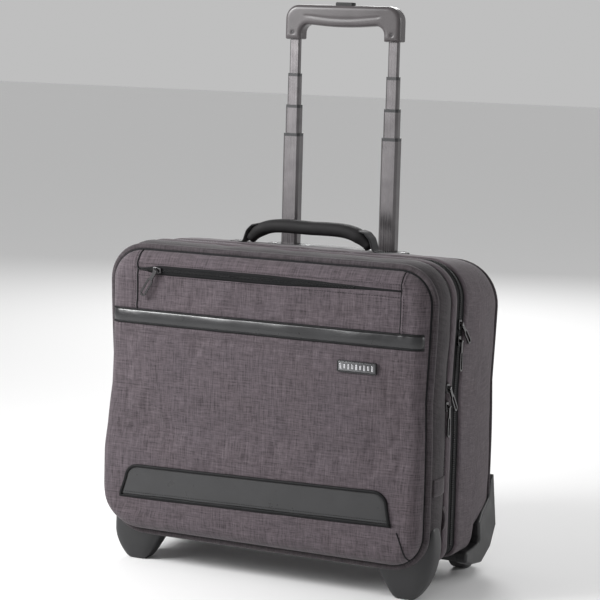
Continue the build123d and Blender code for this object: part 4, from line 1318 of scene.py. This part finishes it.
def build_handle():
    path = handle_path()
    handle_pad(path)
    for name, side in (("front", -1), ("back", 1)):
        edge = [p + Vector((0, side * 0.0120, 0.0012)) for p, s in path if abs(s) < 0.82]
        normals = [Vector((0, side, 0.35)).normalized()] * len(edge)
        add_stitches(f"carry_handle_stitches_{name}", (edge, normals), "handle_leather", "carry_handle")
    for name, side in SIDES:
        route = [Vector((side * x, HANDLE_Y, z)) for x, z in HANDLE_END]
        route = fine_path(route, 0.0018)
        tail = strap(f"carry_handle_webbing_{name}", route, 0.021, 0.0022, BACKWARDS, WEBBING)
        subdivide(tail)
        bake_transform(tail)
        box = [Vector((side * x, HANDLE_Y + y, HANDLE_BOX_Z)) for x, y in HANDLE_BOX]
        row = stitches(f"carry_handle_box_stitch_{name}", box, [UPWARDS] * len(box), 0.003)
        add(row, "webbing", "case")
        if side < 0:
            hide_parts("handle_anchors")


# ---------- stage, camera and light ----------

def build_stage():
    floor_material = Shader("studio_floor", (0.86, 0.86, 0.86), 0.6)
    floor_material.relief(floor_material.noise("solid", 20), 0.0002, 0.1)
    points = [(x, y, 0) for y in (-12, 14) for x in (-14, 14)]
    mesh_object("studio_floor", points, [(0, 1, 3, 2)], floor_material.material)


def build_camera():
    """Camera at the viewing angle of the reference: turned to the right side, slightly above."""
    turn, rise, roll = radians(25.7), radians(7.8), radians(1.5)
    back = Vector((sin(turn) * cos(rise), -cos(turn) * cos(rise), sin(rise)))
    right = Vector((cos(turn), sin(turn), 0))
    up = back.cross(right)
    x_axis = right * cos(roll) + up * sin(roll)
    y_axis = up * cos(roll) - right * sin(roll)
    data = bpy.data.cameras.new("camera")
    data.lens = 126.07
    data.sensor_width = 36
    data.dof.use_dof = False
    camera = linked("camera", data)
    matrix = Matrix((x_axis, y_axis, back)).transposed().to_4x4()
    matrix.translation = Vector((1.1412, -2.3823, 0.7032))
    camera.matrix_world = matrix
    bpy.context.scene.camera = camera


def area_light(name, place, target, size, power):
    data = bpy.data.lights.new(name, "AREA")
    data.shape = "RECTANGLE"
    data.size, data.size_y = size
    data.energy = power
    light = linked(name, data)
    light.rotation_euler = (Vector(target) - Vector(place)).to_track_quat("-Z", "Y").to_euler()
    light.location = place


def build_light():
    world = bpy.data.worlds.new("studio")
    bpy.context.scene.world = world
    world.use_nodes = True
    background = world.node_tree.nodes["Background"]
    background.inputs["Color"].default_value = (1, 1, 1, 1)
    background.inputs["Strength"].default_value = 0.52
    area_light("front_card", (-1.7, -1.9, 1.35), (-0.08, 0, 0.33), (1.3, 1.0), 17)
    area_light("low_card", (-1.25, -2.5, 0.30), (0, 0.1, 0.55), (0.8, 0.5), 2.0)
    area_light("key", (-0.85, -0.85, 1.05), (-0.14, -0.1, 0.38), (0.5, 0.5), 22)
    area_light("side_fill", (2.1, 1.3, 1.1), (0.2, 0.05, 0.25), (0.9, 0.9), 17)
    area_light("back_fill", (-0.9, 2.4, 1.4), (0, 0.1, 0.25), (1.0, 1.0), 22)
    bpy.context.scene.view_settings.view_transform = "Standard"


build_stage()
build_camera()
build_light()
dress_cad_nodes()
find_front = build_front()
for build in (build_band, build_shield, build_front_seams, build_pocket_zip, build_badge):
    build(find_front)
build_front_section()
build_rear()
build_zips()
build_inside()
build_handle()
for label, side in SIDES:
    foot(label, side)
    housing_cover(label, side)
build_side_details()
grip_cover()
